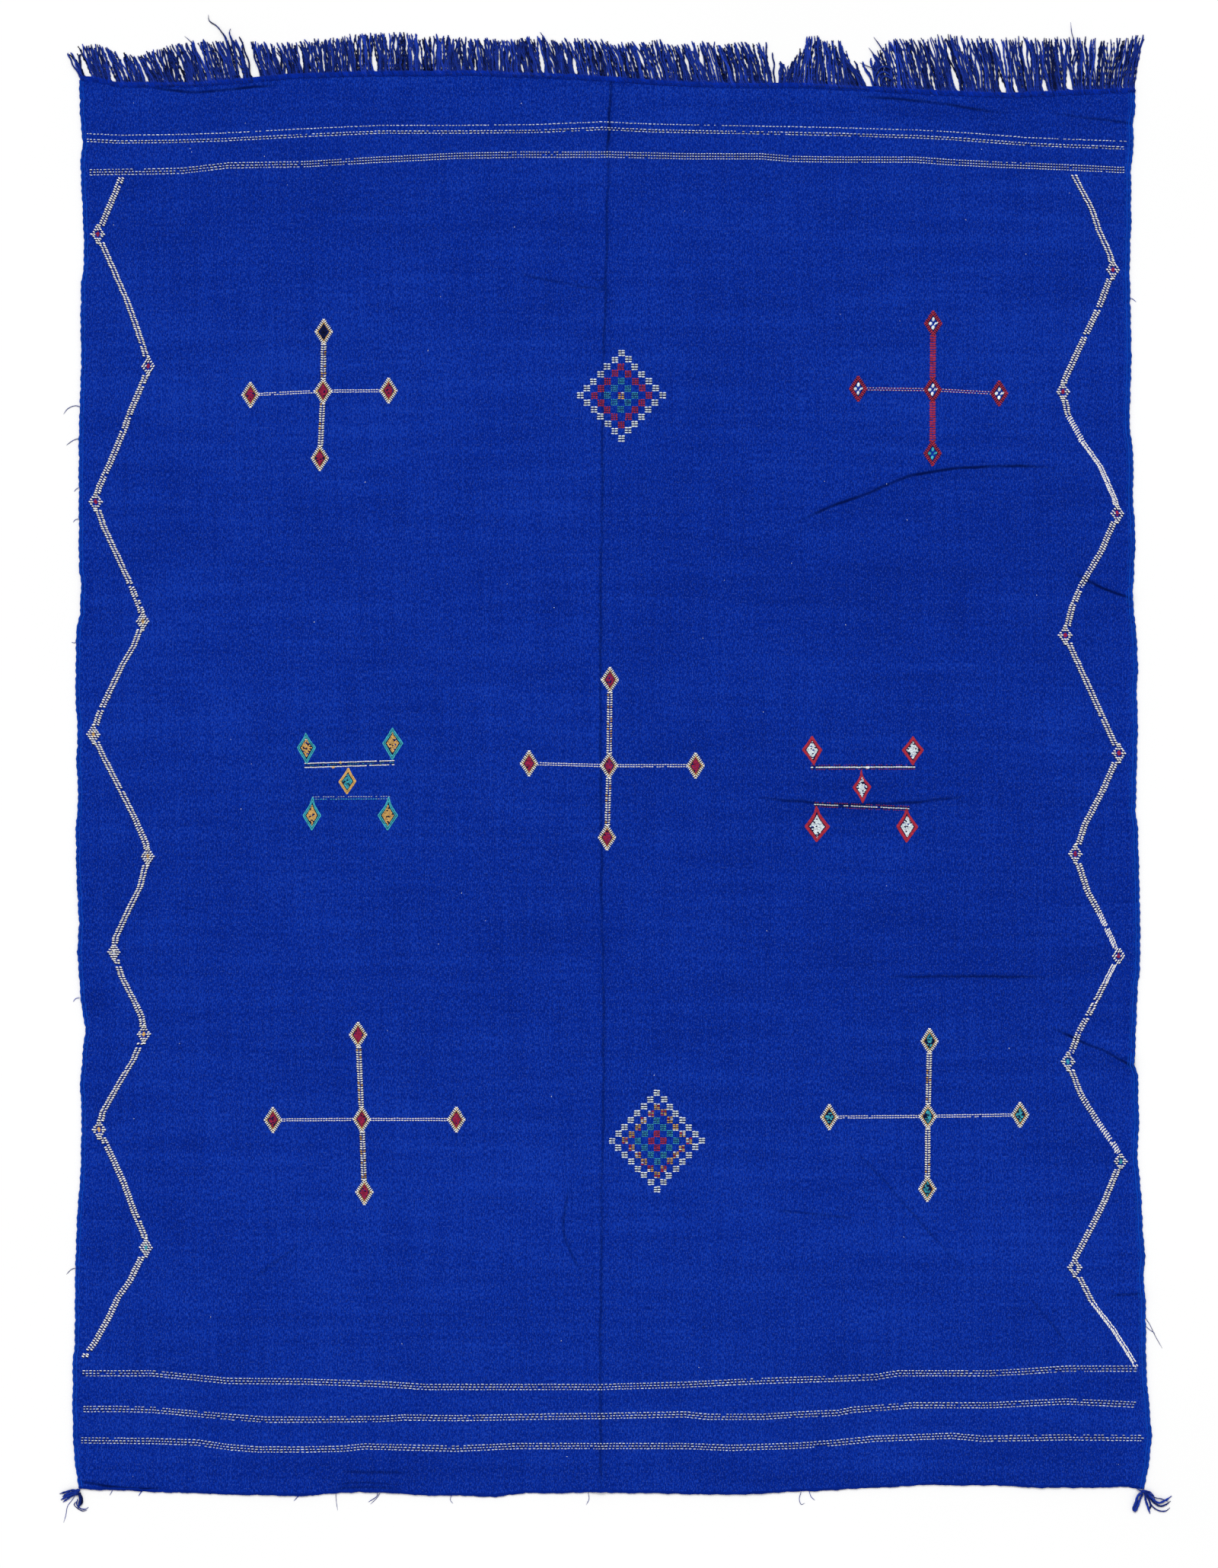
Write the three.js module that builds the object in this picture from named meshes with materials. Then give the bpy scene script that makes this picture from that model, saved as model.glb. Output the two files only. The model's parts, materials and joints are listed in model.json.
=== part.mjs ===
// Flatweave rug with a knotted warp fringe at one end and a tassel at each far corner.
// Millimetres, +Z up. The rug lies flat on Z = 0, +X across the weft, +Y towards the fringe.
// Places on the rug are read as "across" (from its middle line) and "down" (from the fringe end).

import * as THREE from "three";

const CLOTH_THICK = 2.5;
const LEFT_LINE = -955;
const RIGHT_LINE = 951;
const HEM_DOWN = 2542;
const EDGE_STEP = 55;
const SCALLOP = { height: 0.7, pitch: 37 };

const HEADING = { wide: 9, tall: 3 };
const PART_GAP = 0.3;

const STRAND_PITCH = 7.9;
const STRAND = { rootHalf: 2.1, bodyHalf: 1.9, tipHalf: 0.8, rootTall: 2.4, bodyTall: 2.2, tipTall: 1 };
const STRAND_STOPS = { body: 0.3, neck: 0.72, neckHalf: 0.85, leanCurve: 1.3 };
const CLUMP = { wide: 41, pull: 0.2 };
const RAGGED = { by: 3, turn: 0.9 };
const HEADING_END = 1.2;

const TASSEL_HEAD = { radius: 6.5, sides: 16, wall: 4, tall: 6, crown: 0.6 };
const TASSEL_SWAY = { by: 0.12, turn: 2.3 };
const TASSEL_BODY = { at: 0.35, half: 1.15 };

const GRID_STEP = 100;
const GRID_SHIFT = { by: 3, row: 2.1, across: 1.7 };
const CREASE_STEP = 42;
const CLEAR = { crest: 23, foot: 17.5, grid: 50, side: 40 };
const FAR_AWAY = 60000;

const GROUND_BLUE = 0x0c2c94;
const DARK_BLUE = 0x0a1f6b;

// How far the left selvedge wanders to the right of its line
const LEFT_EDGE = [
  { down: 0, by: 0 }, { down: 62, by: 1.4 }, { down: 114, by: 6.3 }, { down: 151, by: 1.9 },
  { down: 274, by: 8 }, { down: 333, by: 8.6 }, { down: 366, by: 3.4 }, { down: 439, by: 2.3 },
  { down: 501, by: 3.8 }, { down: 645, by: -0.8 }, { down: 882, by: -0.5 }, { down: 901, by: 3.6 },
  { down: 964, by: 1.1 }, { down: 992, by: -5.5 }, { down: 1111, by: -6.9 }, { down: 1173, by: -2.7 },
  { down: 1228, by: -5.2 }, { down: 1290, by: -1.5 }, { down: 1351, by: -6.3 }, { down: 1434, by: -4.9 },
  { down: 1519, by: -0.3 }, { down: 1571, by: -3.4 }, { down: 1664, by: 3.4 }, { down: 1708, by: 11.3 },
  { down: 1756, by: 5.9 }, { down: 1815, by: 1.4 }, { down: 1862, by: 4.4 }, { down: 1969, by: 2.5 },
  { down: 2044, by: -3.7 }, { down: 2147, by: -7.4 }, { down: 2278, by: -8 }, { down: 2301, by: -11.3 },
  { down: 2394, by: -12.1 }, { down: 2463, by: -10.2 }, { down: 2504, by: -6 }, { down: 2538, by: -0.4 },
];

// How far the right selvedge wanders to the right of its line
const RIGHT_EDGE = [
  { down: 0, by: -3.4 }, { down: 48, by: -2.2 }, { down: 82, by: -6.7 }, { down: 117, by: -5.1 },
  { down: 158, by: -10.2 }, { down: 254, by: -9.7 }, { down: 336, by: -12.5 }, { down: 501, by: -9.3 },
  { down: 617, by: -13.2 }, { down: 679, by: -5.9 }, { down: 768, by: -6.7 }, { down: 796, by: -2.9 },
  { down: 844, by: -2.6 }, { down: 933, by: -7.3 }, { down: 1002, by: 0 }, { down: 1070, by: 3 },
  { down: 1091, by: -0.3 }, { down: 1159, by: 2.3 }, { down: 1317, by: -1.8 }, { down: 1345, by: 1.9 },
  { down: 1420, by: 4.3 }, { down: 1537, by: 6.7 }, { down: 1605, by: 5.8 }, { down: 1629, by: 2.1 },
  { down: 1711, by: -1.2 }, { down: 1775, by: -4 }, { down: 1792, by: 2.2 }, { down: 1887, by: 4.5 },
  { down: 1935, by: 1 }, { down: 2010, by: 8.6 }, { down: 2079, by: 11.4 }, { down: 2117, by: 15.6 },
  { down: 2162, by: 12.1 }, { down: 2195, by: 16.1 }, { down: 2326, by: 17.3 }, { down: 2394, by: 23.2 },
  { down: 2442, by: 27.6 }, { down: 2476, by: 24.3 }, { down: 2504, by: 20.4 }, { down: 2539, by: 12.9 },
];

// How far the fringe end rises above its line
const FRINGE_END = [
  { across: -955, by: 5.5 }, { across: -925, by: 4.1 }, { across: -889, by: -5.5 },
  { across: -755, by: -5.5 }, { across: -654, by: 2 }, { across: -573, by: 9.6 },
  { across: -456, by: 13.7 }, { across: -237, by: 15.1 }, { across: -60, by: 8.2 },
  { across: 81, by: -1.4 }, { across: 206, by: -6.9 }, { across: 354, by: -6.9 },
  { across: 466, by: -13 }, { across: 589, by: -19.9 }, { across: 720, by: -24.7 },
  { across: 830, by: -19.9 }, { across: 947.6, by: -15.1 },
];

// How far the turned hem hangs below its line
const HEM_END = [
  { across: -955.4, by: -4 }, { across: -823, by: 1.4 }, { across: -645, by: 7.5 },
  { across: -549, by: 8.9 }, { across: -453, by: 1.4 }, { across: -329, by: 7.5 },
  { across: -206, by: 10.3 }, { across: -151, by: 4.1 }, { across: 0, by: 2.7 },
  { across: 220, by: 6.9 }, { across: 398, by: -1.4 }, { across: 576, by: -11 },
  { across: 713, by: -9.6 }, { across: 782, by: -5.5 }, { across: 933, by: -6.9 },
  { across: 963.9, by: -2.7 },
];

// Creases left by folding, each a soft ridge along its line of [across, down] places
const CREASES = [
  {
    rise: 2.6, half: 22,
    line: [[3, -20], [-4, 268], [-12, 665], [-15, 1249], [-10, 1777], [-15, 2106], [-15, 2560]],
  },
  { rise: 3.4, half: 21, line: [[333, 797], [412, 761], [541, 712], [606, 697], [804, 697]] },
  { rise: 3.6, half: 20, line: [[860, 900], [960, 942]] },
  { rise: 3, half: 20, line: [[258, 1292], [409, 1305], [541, 1302], [653, 1290]] },
  { rise: 2.6, half: 20, line: [[494, 1616], [794, 1616]] },
  { rise: 4, half: 22, line: [[804, 1710], [851, 1738], [965, 1777]] },
  { rise: 2.2, half: 20, line: [[295, 2036], [446, 2050]] },
  { rise: 1.8, half: 20, line: [[436, 1917], [653, 2162]] },
  { rise: 2.2, half: 20, line: [[756, 2190], [823, 2275]] },
  { rise: 2.4, half: 20, line: [[899, 2190], [985, 2187]] },
  { rise: 2, half: 20, line: [[-71, 1983], [-81, 2077], [-44, 2162]] },
  { rise: 1.8, half: 20, line: [[-646, 2162], [-552, 2096]] },
  { rise: 3, half: 20, line: [[-815, 36], [-693, 33], [-598, 30]] },
  { rise: 3, half: 20, line: [[475, 42], [597, 50], [709, 60]] },
  { rise: 2, half: 20, line: [[-176, 350], [-89, 366], [14, 383]] },
  { rise: 2.6, half: 24, line: [[-487, 2508], [-357, 2508]] },
  { rise: 2.2, half: 24, line: [[-930, 2508], [-815, 2512]] },
];

// The fringe along the fringe end: strand length, and how far its tip leans to the right
const FRINGE = [
  { across: -944, long: 45, lean: -22 }, { across: -925, long: 55, lean: -16 },
  { across: -892, long: 62, lean: -21 }, { across: -837, long: 44, lean: -22 },
  { across: -803, long: 59, lean: -23 }, { across: -741, long: 70, lean: -25 },
  { across: -665, long: 71, lean: -20 }, { across: -569, long: 55, lean: -16 },
  { across: -494, long: 63, lean: -8 }, { across: -425, long: 69, lean: -4 },
  { across: -274, long: 60, lean: -4 }, { across: -192, long: 59, lean: -6 },
  { across: -75, long: 64, lean: -15 }, { across: 41, long: 66, lean: -19 },
  { across: 172, long: 71, lean: -21 }, { across: 288, long: 74, lean: -22 },
  { across: 316, long: 34, lean: 4 }, { across: 340, long: 70, lean: 12 },
  { across: 351, long: 82, lean: 9 }, { across: 400, long: 78, lean: -8 },
  { across: 436, long: 81, lean: -10 }, { across: 483, long: 48, lean: -9 },
  { across: 521, long: 84, lean: -20 }, { across: 624, long: 101, lean: -25 },
  { across: 720, long: 96, lean: -16 }, { across: 789, long: 95, lean: -13 },
  { across: 844, long: 95, lean: -5 }, { across: 892, long: 90, lean: 7 },
  { across: 945, long: 96, lean: 15 },
];

const BARE_STRETCHES = [
  { from: -643, to: -626 }, { from: 299, to: 307 }, { from: 440, to: 478 },
];

// Single strands that reach past their neighbours
const LONG_STRANDS = [
  { across: -679, long: 117, lean: -40 }, { across: 838, long: 123, lean: -9 },
];

// Each tassel hangs on a corner of the hem, turned away from it, with a strand on some sides of its head
const TASSELS = [
  {
    name: "tassel_left", corner: 0, turn: -120,
    strands: [
      { side: 8, long: 18 }, { side: 9, long: 44 }, { side: 10, long: 53 },
      { side: 11, long: 34 }, { side: 12, long: 38 }, { side: 13, long: 26 },
    ],
  },
  {
    name: "tassel_right", corner: HEM_END.length - 1, turn: -60,
    strands: [
      { side: 10, long: 38 }, { side: 11, long: 30 }, { side: 12, long: 38 },
      { side: 13, long: 34 }, { side: 14, long: 51 }, { side: 15, long: 52 },
    ],
  },
];

// The value of a table's column between its rows
function along(table, key, column, place) {
  let next = table.findIndex((row) => row[key] >= place);
  if (next < 0) next = table.length - 1;
  if (next === 0) next = 1;
  const before = table[next - 1];
  const after = table[next];
  const part = THREE.MathUtils.clamp((place - before[key]) / (after[key] - before[key]), 0, 1);
  return THREE.MathUtils.lerp(before[column], after[column], part);
}

// A table's own places and even steps between them
function stations(table, key) {
  const places = [];
  for (let row = 0; row < table.length - 1; row++) {
    const from = table[row][key];
    const reach = table[row + 1][key] - from;
    const steps = Math.ceil(reach / EDGE_STEP);
    for (let step = 0; step < steps; step++) places.push(from + (reach * step) / steps);
  }
  places.push(table[table.length - 1][key]);
  return places;
}

function scallop(place) {
  return SCALLOP.height * Math.sin((2 * Math.PI * place) / SCALLOP.pitch);
}

function fringeEndY(across) {
  return along(FRINGE_END, "across", "by", across) + scallop(across);
}

function hemY(across) {
  return -HEM_DOWN - along(HEM_END, "across", "by", across) - scallop(across);
}

function solid(name, positions, triangles, colour) {
  const geometry = new THREE.BufferGeometry();
  geometry.setAttribute("position", new THREE.Float32BufferAttribute(positions.flat(), 3));
  geometry.setIndex(triangles.flat());
  geometry.computeVertexNormals();
  const material = new THREE.MeshStandardMaterial({ color: colour, roughness: 0.93, metalness: 0 });
  material.flatShading = true;
  const mesh = new THREE.Mesh(geometry, material);
  mesh.name = name;
  return mesh;
}

// The cloth's outline, counterclockwise from its hem's left end, as [x, y]
function clothOutline() {
  const inner = (places) => places.slice(1, -1);
  const hem = stations(HEM_END, "across").map((x) => [x, hemY(x)]);
  const right = inner(stations(RIGHT_EDGE, "down")).reverse()
    .map((down) => [RIGHT_LINE + along(RIGHT_EDGE, "down", "by", down) + scallop(down), -down]);
  const top = stations(FRINGE_END, "across").reverse()
    .map((x) => [x, fringeEndY(x) - HEADING.wide - PART_GAP]);
  const left = inner(stations(LEFT_EDGE, "down"))
    .map((down) => [LEFT_LINE + along(LEFT_EDGE, "down", "by", down) - scallop(down), -down]);
  return [...hem, ...right, ...top, ...left];
}

function inside(outline, x, y) {
  let within = false;
  outline.forEach(([ax, ay], index) => {
    const [bx, by] = outline[(index + 1) % outline.length];
    if (ay > y !== by > y && x < ((bx - ax) * (y - ay)) / (by - ay) + ax) within = !within;
  });
  return within;
}

function distanceToLine(line, x, y) {
  let nearest = Infinity;
  for (let step = 0; step < line.length - 1; step++) {
    const [ax, down] = line[step];
    const [bx, nextDown] = line[step + 1];
    const dx = bx - ax;
    const dy = down - nextDown;
    const part = THREE.MathUtils.clamp(((x - ax) * dx + (y + down) * dy) / (dx * dx + dy * dy), 0, 1);
    nearest = Math.min(nearest, Math.hypot(x - ax - part * dx, y + down - part * dy));
  }
  return nearest;
}

// How far the creases lift the cloth off the floor at a place
function lift(x, y) {
  let height = 0;
  for (const { rise, half, line } of CREASES) {
    const away = distanceToLine(line, x, y) / half;
    if (away < 1) height = Math.max(height, rise * (1 - away * away) ** 2);
  }
  return height;
}

// Places along each crease: its crest, and its foot on both sides
function creasePlaces() {
  const crests = [];
  const feet = [];
  for (const { half, line } of CREASES) {
    for (let step = 0; step < line.length - 1; step++) {
      const [ax, down] = line[step];
      const [bx, nextDown] = line[step + 1];
      const reach = Math.hypot(bx - ax, nextDown - down);
      const across = [(nextDown - down) / reach, (bx - ax) / reach];
      const steps = Math.ceil(reach / CREASE_STEP);
      for (let stop = 0; stop <= steps; stop++) {
        const x = ax + ((bx - ax) * stop) / steps;
        const y = -down - ((nextDown - down) * stop) / steps;
        crests.push([x, y]);
        feet.push([x + across[0] * half, y + across[1] * half]);
        feet.push([x - across[0] * half, y - across[1] * half]);
      }
    }
  }
  return { crests, feet };
}

function circleThrough(a, b, c) {
  const bx = b[0] - a[0];
  const by = b[1] - a[1];
  const cx = c[0] - a[0];
  const cy = c[1] - a[1];
  const twice = 2 * (bx * cy - by * cx);
  const bb = bx * bx + by * by;
  const cc = cx * cx + cy * cy;
  const x = (cy * bb - by * cc) / twice;
  const y = (bx * cc - cx * bb) / twice;
  return { x: a[0] + x, y: a[1] + y, square: x * x + y * y };
}

// Joins points into triangles whose circles hold no other point
function joinPoints(points) {
  const all = [...points, [-FAR_AWAY, -FAR_AWAY], [FAR_AWAY, -FAR_AWAY], [0, FAR_AWAY]];
  const makeTriangle = (corners) => {
    const circle = circleThrough(...corners.map((index) => all[index]));
    return { corners, circle };
  };
  const count = points.length;
  let triangles = [makeTriangle([count, count + 1, count + 2])];
  points.forEach(([x, y], index) => {
    const rim = new Map();
    triangles = triangles.filter(({ corners, circle }) => {
      if ((x - circle.x) ** 2 + (y - circle.y) ** 2 >= circle.square) return true;
      corners.forEach((from, corner) => {
        const to = corners[(corner + 1) % 3];
        if (!rim.delete(`${to} ${from}`)) rim.set(`${from} ${to}`, [from, to]);
      });
      return false;
    });
    for (const [from, to] of rim.values()) triangles.push(makeTriangle([from, to, index]));
  });
  return triangles.map(({ corners }) => corners).filter((corners) => Math.max(...corners) < count);
}

// Keeps a place out of the circle over each side of the outline, so that the side stays a triangle's side
function clearOfSides(outline, x, y) {
  return outline.every(([ax, ay], index) => {
    const [bx, by] = outline[(index + 1) % outline.length];
    return (x - ax) * (x - bx) + (y - ay) * (y - by) > CLEAR.side;
  });
}

function clothPoints(outline) {
  const points = [...outline];
  const addClear = (places, gap) => {
    for (const [x, y] of places) {
      const clear = points.every(([px, py]) => Math.hypot(px - x, py - y) >= gap);
      if (clear && inside(outline, x, y) && clearOfSides(outline, x, y)) points.push([x, y]);
    }
  };
  const { crests, feet } = creasePlaces();
  addClear(crests, CLEAR.crest);
  addClear(feet, CLEAR.foot);
  const grid = [];
  for (let row = 0; row * GRID_STEP < HEM_DOWN; row++) {
    for (let x = LEFT_LINE; x < RIGHT_LINE; x += GRID_STEP) {
      const stagger = (row % 2) * 0.5 * GRID_STEP + GRID_SHIFT.by * Math.sin(row * GRID_SHIFT.row + x);
      grid.push([x + stagger, -row * GRID_STEP + GRID_SHIFT.by * Math.sin(x * GRID_SHIFT.across)]);
    }
  }
  addClear(grid, CLEAR.grid);
  return points;
}

function makeCloth() {
  const outline = clothOutline();
  const points = clothPoints(outline);
  const count = points.length;
  const under = points.map(([x, y]) => [x, y, lift(x, y)]);
  const upper = under.map(([x, y, z]) => [x, y, z + CLOTH_THICK]);
  const middle = (corners, axis) => corners.reduce((sum, corner) => sum + points[corner][axis], 0) / 3;
  const withinOutline = (corners) => inside(outline, middle(corners, 0), middle(corners, 1));
  const faces = joinPoints(points).filter(withinOutline);
  const triangles = [];
  for (const [a, b, c] of faces) {
    triangles.push([a + count, b + count, c + count]);
    triangles.push([a, c, b]);
  }
  outline.forEach((_, from) => {
    const to = (from + 1) % outline.length;
    triangles.push([from, to, to + count]);
    triangles.push([from, to + count, from + count]);
  });
  return solid("cloth", [...under, ...upper], triangles, GROUND_BLUE);
}

// One strand out of a wall: root corners left, right and apex, then rings of three to its tip.
// The root triangle is open, because the backing's wall leaves its place free.
function addStrand(positions, triangles, root, stops) {
  let ring = root;
  for (const { x, y, sideX, sideY, half, tall } of stops) {
    const first = positions.length;
    positions.push([x - sideX * half, y - sideY * half, 0]);
    positions.push([x + sideX * half, y + sideY * half, 0]);
    positions.push([x, y, tall]);
    const next = [first, first + 1, first + 2];
    for (let corner = 0; corner < 3; corner++) {
      const other = (corner + 1) % 3;
      triangles.push([ring[corner], ring[other], next[other]]);
      triangles.push([ring[corner], next[other], next[corner]]);
    }
    ring = next;
  }
  triangles.push(ring);
}

// The wall around a strand's root triangle, between the wall's foot and its top
function addRootWall(triangles, [left, right, apex], topLeft, topRight) {
  triangles.push([left, apex, topLeft]);
  triangles.push([topLeft, apex, topRight]);
  triangles.push([apex, right, topRight]);
}

function addWall(triangles, left, right, topLeft, topRight) {
  triangles.push([left, right, topRight]);
  triangles.push([left, topRight, topLeft]);
}

// Where each strand of the fringe leaves the heading, from right to left
function strandRoots() {
  const first = LEFT_LINE + HEADING_END + STRAND.rootHalf;
  const last = FRINGE_END[FRINGE_END.length - 1].across - HEADING_END - STRAND.rootHalf;
  const count = Math.floor((last - first) / STRAND_PITCH);
  const roots = [];
  for (let index = count; index >= 0; index--) {
    const across = first + ((last - first) * index) / count;
    if (!BARE_STRETCHES.some(({ from, to }) => across > from && across < to)) roots.push(across);
  }
  return roots;
}

// A fringe strand's rings: it leans with its neighbours, drawn a little to its clump's middle
function fringeStops(across) {
  const stray = LONG_STRANDS.find((row) => Math.abs(row.across - across) < STRAND_PITCH / 2);
  const ragged = RAGGED.by * Math.sin(across * RAGGED.turn);
  const long = stray ? stray.long : along(FRINGE, "across", "long", across) + ragged;
  const lean = stray ? stray.lean : along(FRINGE, "across", "lean", across);
  const clumpMiddle = (Math.floor(across / CLUMP.wide) + 0.5) * CLUMP.wide;
  const drawn = stray ? 0 : CLUMP.pull * (clumpMiddle - across);
  const rootY = fringeEndY(across);
  const stop = (part, half, tall) => {
    const x = across + (lean + drawn) * part ** STRAND_STOPS.leanCurve;
    return { x, y: rootY + long * part, sideX: -1, sideY: 0, half, tall };
  };
  return [
    stop(STRAND_STOPS.body, STRAND.bodyHalf, STRAND.bodyTall),
    stop(STRAND_STOPS.neck, STRAND.bodyHalf * STRAND_STOPS.neckHalf, STRAND.bodyTall),
    stop(1, STRAND.tipHalf, STRAND.tipTall),
  ];
}

// The twined heading, a narrow strip along the cloth's end, with the fringe strands on its outer wall
function makeFringe() {
  const positions = [];
  const triangles = [];
  const put = (x, y, z) => positions.push([x, y, z]) - 1;
  const outer = [];
  const addOuter = (x) => {
    const y = fringeEndY(x);
    outer.push({ x, foot: put(x, y, 0), top: put(x, y, HEADING.tall) });
    return outer[outer.length - 1];
  };
  const { across: rightEnd } = FRINGE_END[FRINGE_END.length - 1];
  let before = addOuter(rightEnd);
  for (const across of strandRoots()) {
    const left = addOuter(across + STRAND.rootHalf);
    const right = addOuter(across - STRAND.rootHalf);
    const apex = put(across, fringeEndY(across), STRAND.rootTall);
    const middleRoot = [left.foot, right.foot, apex];
    addWall(triangles, before.foot, left.foot, before.top, left.top);
    addRootWall(triangles, middleRoot, left.top, right.top);
    addStrand(positions, triangles, middleRoot, fringeStops(across));
    before = right;
  }
  const lastOuter = addOuter(LEFT_LINE);
  addWall(triangles, before.foot, lastOuter.foot, before.top, lastOuter.top);
  const inner = stations(FRINGE_END, "across").reverse().map((x) => {
    const y = fringeEndY(x) - HEADING.wide;
    return { x, foot: put(x, y, 0), top: put(x, y, HEADING.tall) };
  });
  for (let step = 0; step < inner.length - 1; step++) {
    addWall(triangles, inner[step + 1].foot, inner[step].foot, inner[step + 1].top, inner[step].top);
  }
  const end = inner.length - 1;
  addWall(triangles, inner[0].foot, outer[0].foot, inner[0].top, outer[0].top);
  addWall(triangles, lastOuter.foot, inner[end].foot, lastOuter.top, inner[end].top);
  let [near, far] = [0, 0];
  while (near < end || far < outer.length - 1) {
    const stepFar = near === end || (far < outer.length - 1 && outer[far + 1].x >= inner[near + 1].x);
    const next = stepFar ? outer[far + 1] : inner[near + 1];
    triangles.push([inner[near].top, outer[far].top, next.top]);
    triangles.push([inner[near].foot, next.foot, outer[far].foot]);
    if (stepFar) far += 1;
    else near += 1;
  }
  return solid("fringe", positions, triangles, DARK_BLUE);
}

// A knotted head with a low crown, and strands that fan out over the floor
function makeTassel({ name, corner, turn: away, strands }) {
  const { radius, sides, wall, tall, crown } = TASSEL_HEAD;
  const cornerX = HEM_END[corner].across;
  const outward = THREE.MathUtils.degToRad(away);
  const headX = cornerX + (radius + PART_GAP) * Math.cos(outward);
  const headY = hemY(cornerX) + (radius + PART_GAP) * Math.sin(outward);
  const positions = [];
  const triangles = [];
  const put = (x, y, z) => positions.push([x, y, z]) - 1;
  const ring = (size, z) => Array.from({ length: sides }, (_, side) => {
    const turn = (2 * Math.PI * side) / sides;
    return put(headX + size * Math.cos(turn), headY + size * Math.sin(turn), z);
  });
  const foot = ring(radius, 0);
  const shoulder = ring(radius, wall);
  const crownRing = ring(radius * crown, tall);
  const footMiddle = put(headX, headY, 0);
  const crownMiddle = put(headX, headY, tall);
  for (let side = 0; side < sides; side++) {
    const next = (side + 1) % sides;
    triangles.push([footMiddle, foot[next], foot[side]]);
    triangles.push([crownMiddle, crownRing[side], crownRing[next]]);
    addWall(triangles, shoulder[side], shoulder[next], crownRing[side], crownRing[next]);
    const strand = strands.find((row) => row.side === side);
    if (!strand) {
      addWall(triangles, foot[side], foot[next], shoulder[side], shoulder[next]);
      continue;
    }
    const turn = (2 * Math.PI * (side + 0.5)) / sides;
    const reach = radius * Math.cos(Math.PI / sides);
    const apex = put(headX + reach * Math.cos(turn), headY + reach * Math.sin(turn), STRAND.rootTall);
    const root = [foot[side], foot[next], apex];
    addRootWall(triangles, root, shoulder[side], shoulder[next]);
    const stops = [
      [TASSEL_BODY.at, TASSEL_BODY.half, STRAND.bodyTall],
      [1, STRAND.tipHalf, STRAND.tipTall],
    ];
    addStrand(positions, triangles, root, stops.map(([part, half, high]) => {
      const way = turn + TASSEL_SWAY.by * part * Math.sin(side * TASSEL_SWAY.turn);
      const out = reach + strand.long * part;
      return {
        x: headX + out * Math.cos(way), y: headY + out * Math.sin(way),
        sideX: -Math.sin(way), sideY: Math.cos(way), half, tall: high,
      };
    }));
  }
  return solid(name, positions, triangles, DARK_BLUE);
}

const rug = new THREE.Group();
rug.add(makeCloth(), makeFringe(), ...TASSELS.map(makeTassel));

// The origin stands on the floor under the middle of the whole rug
const reach = new THREE.Box3().setFromObject(rug);
const middle = reach.getCenter(new THREE.Vector3());
rug.position.set(-middle.x, -middle.y, -reach.min.z);

export default rug;
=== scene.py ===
"""A flatweave rug laid flat: cloth, selvedges, hem, twined heading, fringe, corner tassels and inlay."""
import json
import math
from collections import defaultdict, namedtuple

import bpy
import numpy as np
from bpy.props import FloatProperty, FloatVectorProperty, IntProperty, PointerProperty
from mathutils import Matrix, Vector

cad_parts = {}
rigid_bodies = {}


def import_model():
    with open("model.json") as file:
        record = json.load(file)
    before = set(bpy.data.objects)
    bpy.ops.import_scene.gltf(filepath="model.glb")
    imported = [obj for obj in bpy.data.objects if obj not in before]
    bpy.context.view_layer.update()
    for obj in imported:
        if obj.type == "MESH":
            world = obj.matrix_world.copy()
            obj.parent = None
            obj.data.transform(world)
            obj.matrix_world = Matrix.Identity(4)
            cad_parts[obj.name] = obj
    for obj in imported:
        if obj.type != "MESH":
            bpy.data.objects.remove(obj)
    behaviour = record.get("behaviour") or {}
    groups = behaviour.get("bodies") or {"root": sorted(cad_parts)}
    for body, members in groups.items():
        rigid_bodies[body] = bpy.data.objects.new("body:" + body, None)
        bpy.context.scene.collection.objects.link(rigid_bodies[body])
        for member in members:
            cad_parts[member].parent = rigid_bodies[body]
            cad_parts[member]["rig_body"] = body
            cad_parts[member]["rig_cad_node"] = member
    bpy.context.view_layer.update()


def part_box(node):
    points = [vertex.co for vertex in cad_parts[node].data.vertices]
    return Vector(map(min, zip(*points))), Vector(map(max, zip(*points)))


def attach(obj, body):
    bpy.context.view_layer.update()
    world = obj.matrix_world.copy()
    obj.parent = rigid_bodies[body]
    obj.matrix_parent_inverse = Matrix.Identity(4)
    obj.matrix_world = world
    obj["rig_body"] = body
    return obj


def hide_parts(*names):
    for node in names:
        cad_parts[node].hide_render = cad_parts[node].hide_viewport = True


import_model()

bl_info = {
    "name": "Flatweave Rug",
    "version": (1, 0, 0),
    "blender": (4, 5, 0),
    "location": "3D View > Sidebar > Rug",
    "description": "Weaves a flat rug with inlaid stripes, zigzags and crosses around its packed model",
    "category": "Object",
}

CLOTH_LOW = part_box("cloth")[0]
BODY = "root"
MM = 0.001
SEED = 41

# Places on the rug are millimetres across from its middle line and down from its fringe end
LEFT_LINE = -955
RIGHT_LINE = 951
HEM_DOWN = 2542
HEADING_WIDE = 8.3
LEAST_ACROSS = -966.95
MOST_DOWN = 2552.59

# How far the left selvedge wanders to the right of its line, as (down, by)
LEFT_EDGE = [
    (0, 0), (62, 1.4), (114, 6.3), (151, 1.9), (274, 8), (333, 8.6), (366, 3.4), (439, 2.3),
    (501, 3.8), (645, -0.8), (882, -0.5), (901, 3.6), (964, 1.1), (992, -5.5), (1111, -6.9),
    (1173, -2.7), (1228, -5.2), (1290, -1.5), (1351, -6.3), (1434, -4.9), (1519, -0.3),
    (1571, -3.4), (1664, 3.4), (1708, 11.3), (1756, 5.9), (1815, 1.4), (1862, 4.4), (1969, 2.5),
    (2044, -3.7), (2147, -7.4), (2278, -8), (2301, -11.3), (2394, -12.1), (2463, -10.2),
    (2504, -6), (2538, -0.4),
]

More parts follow.
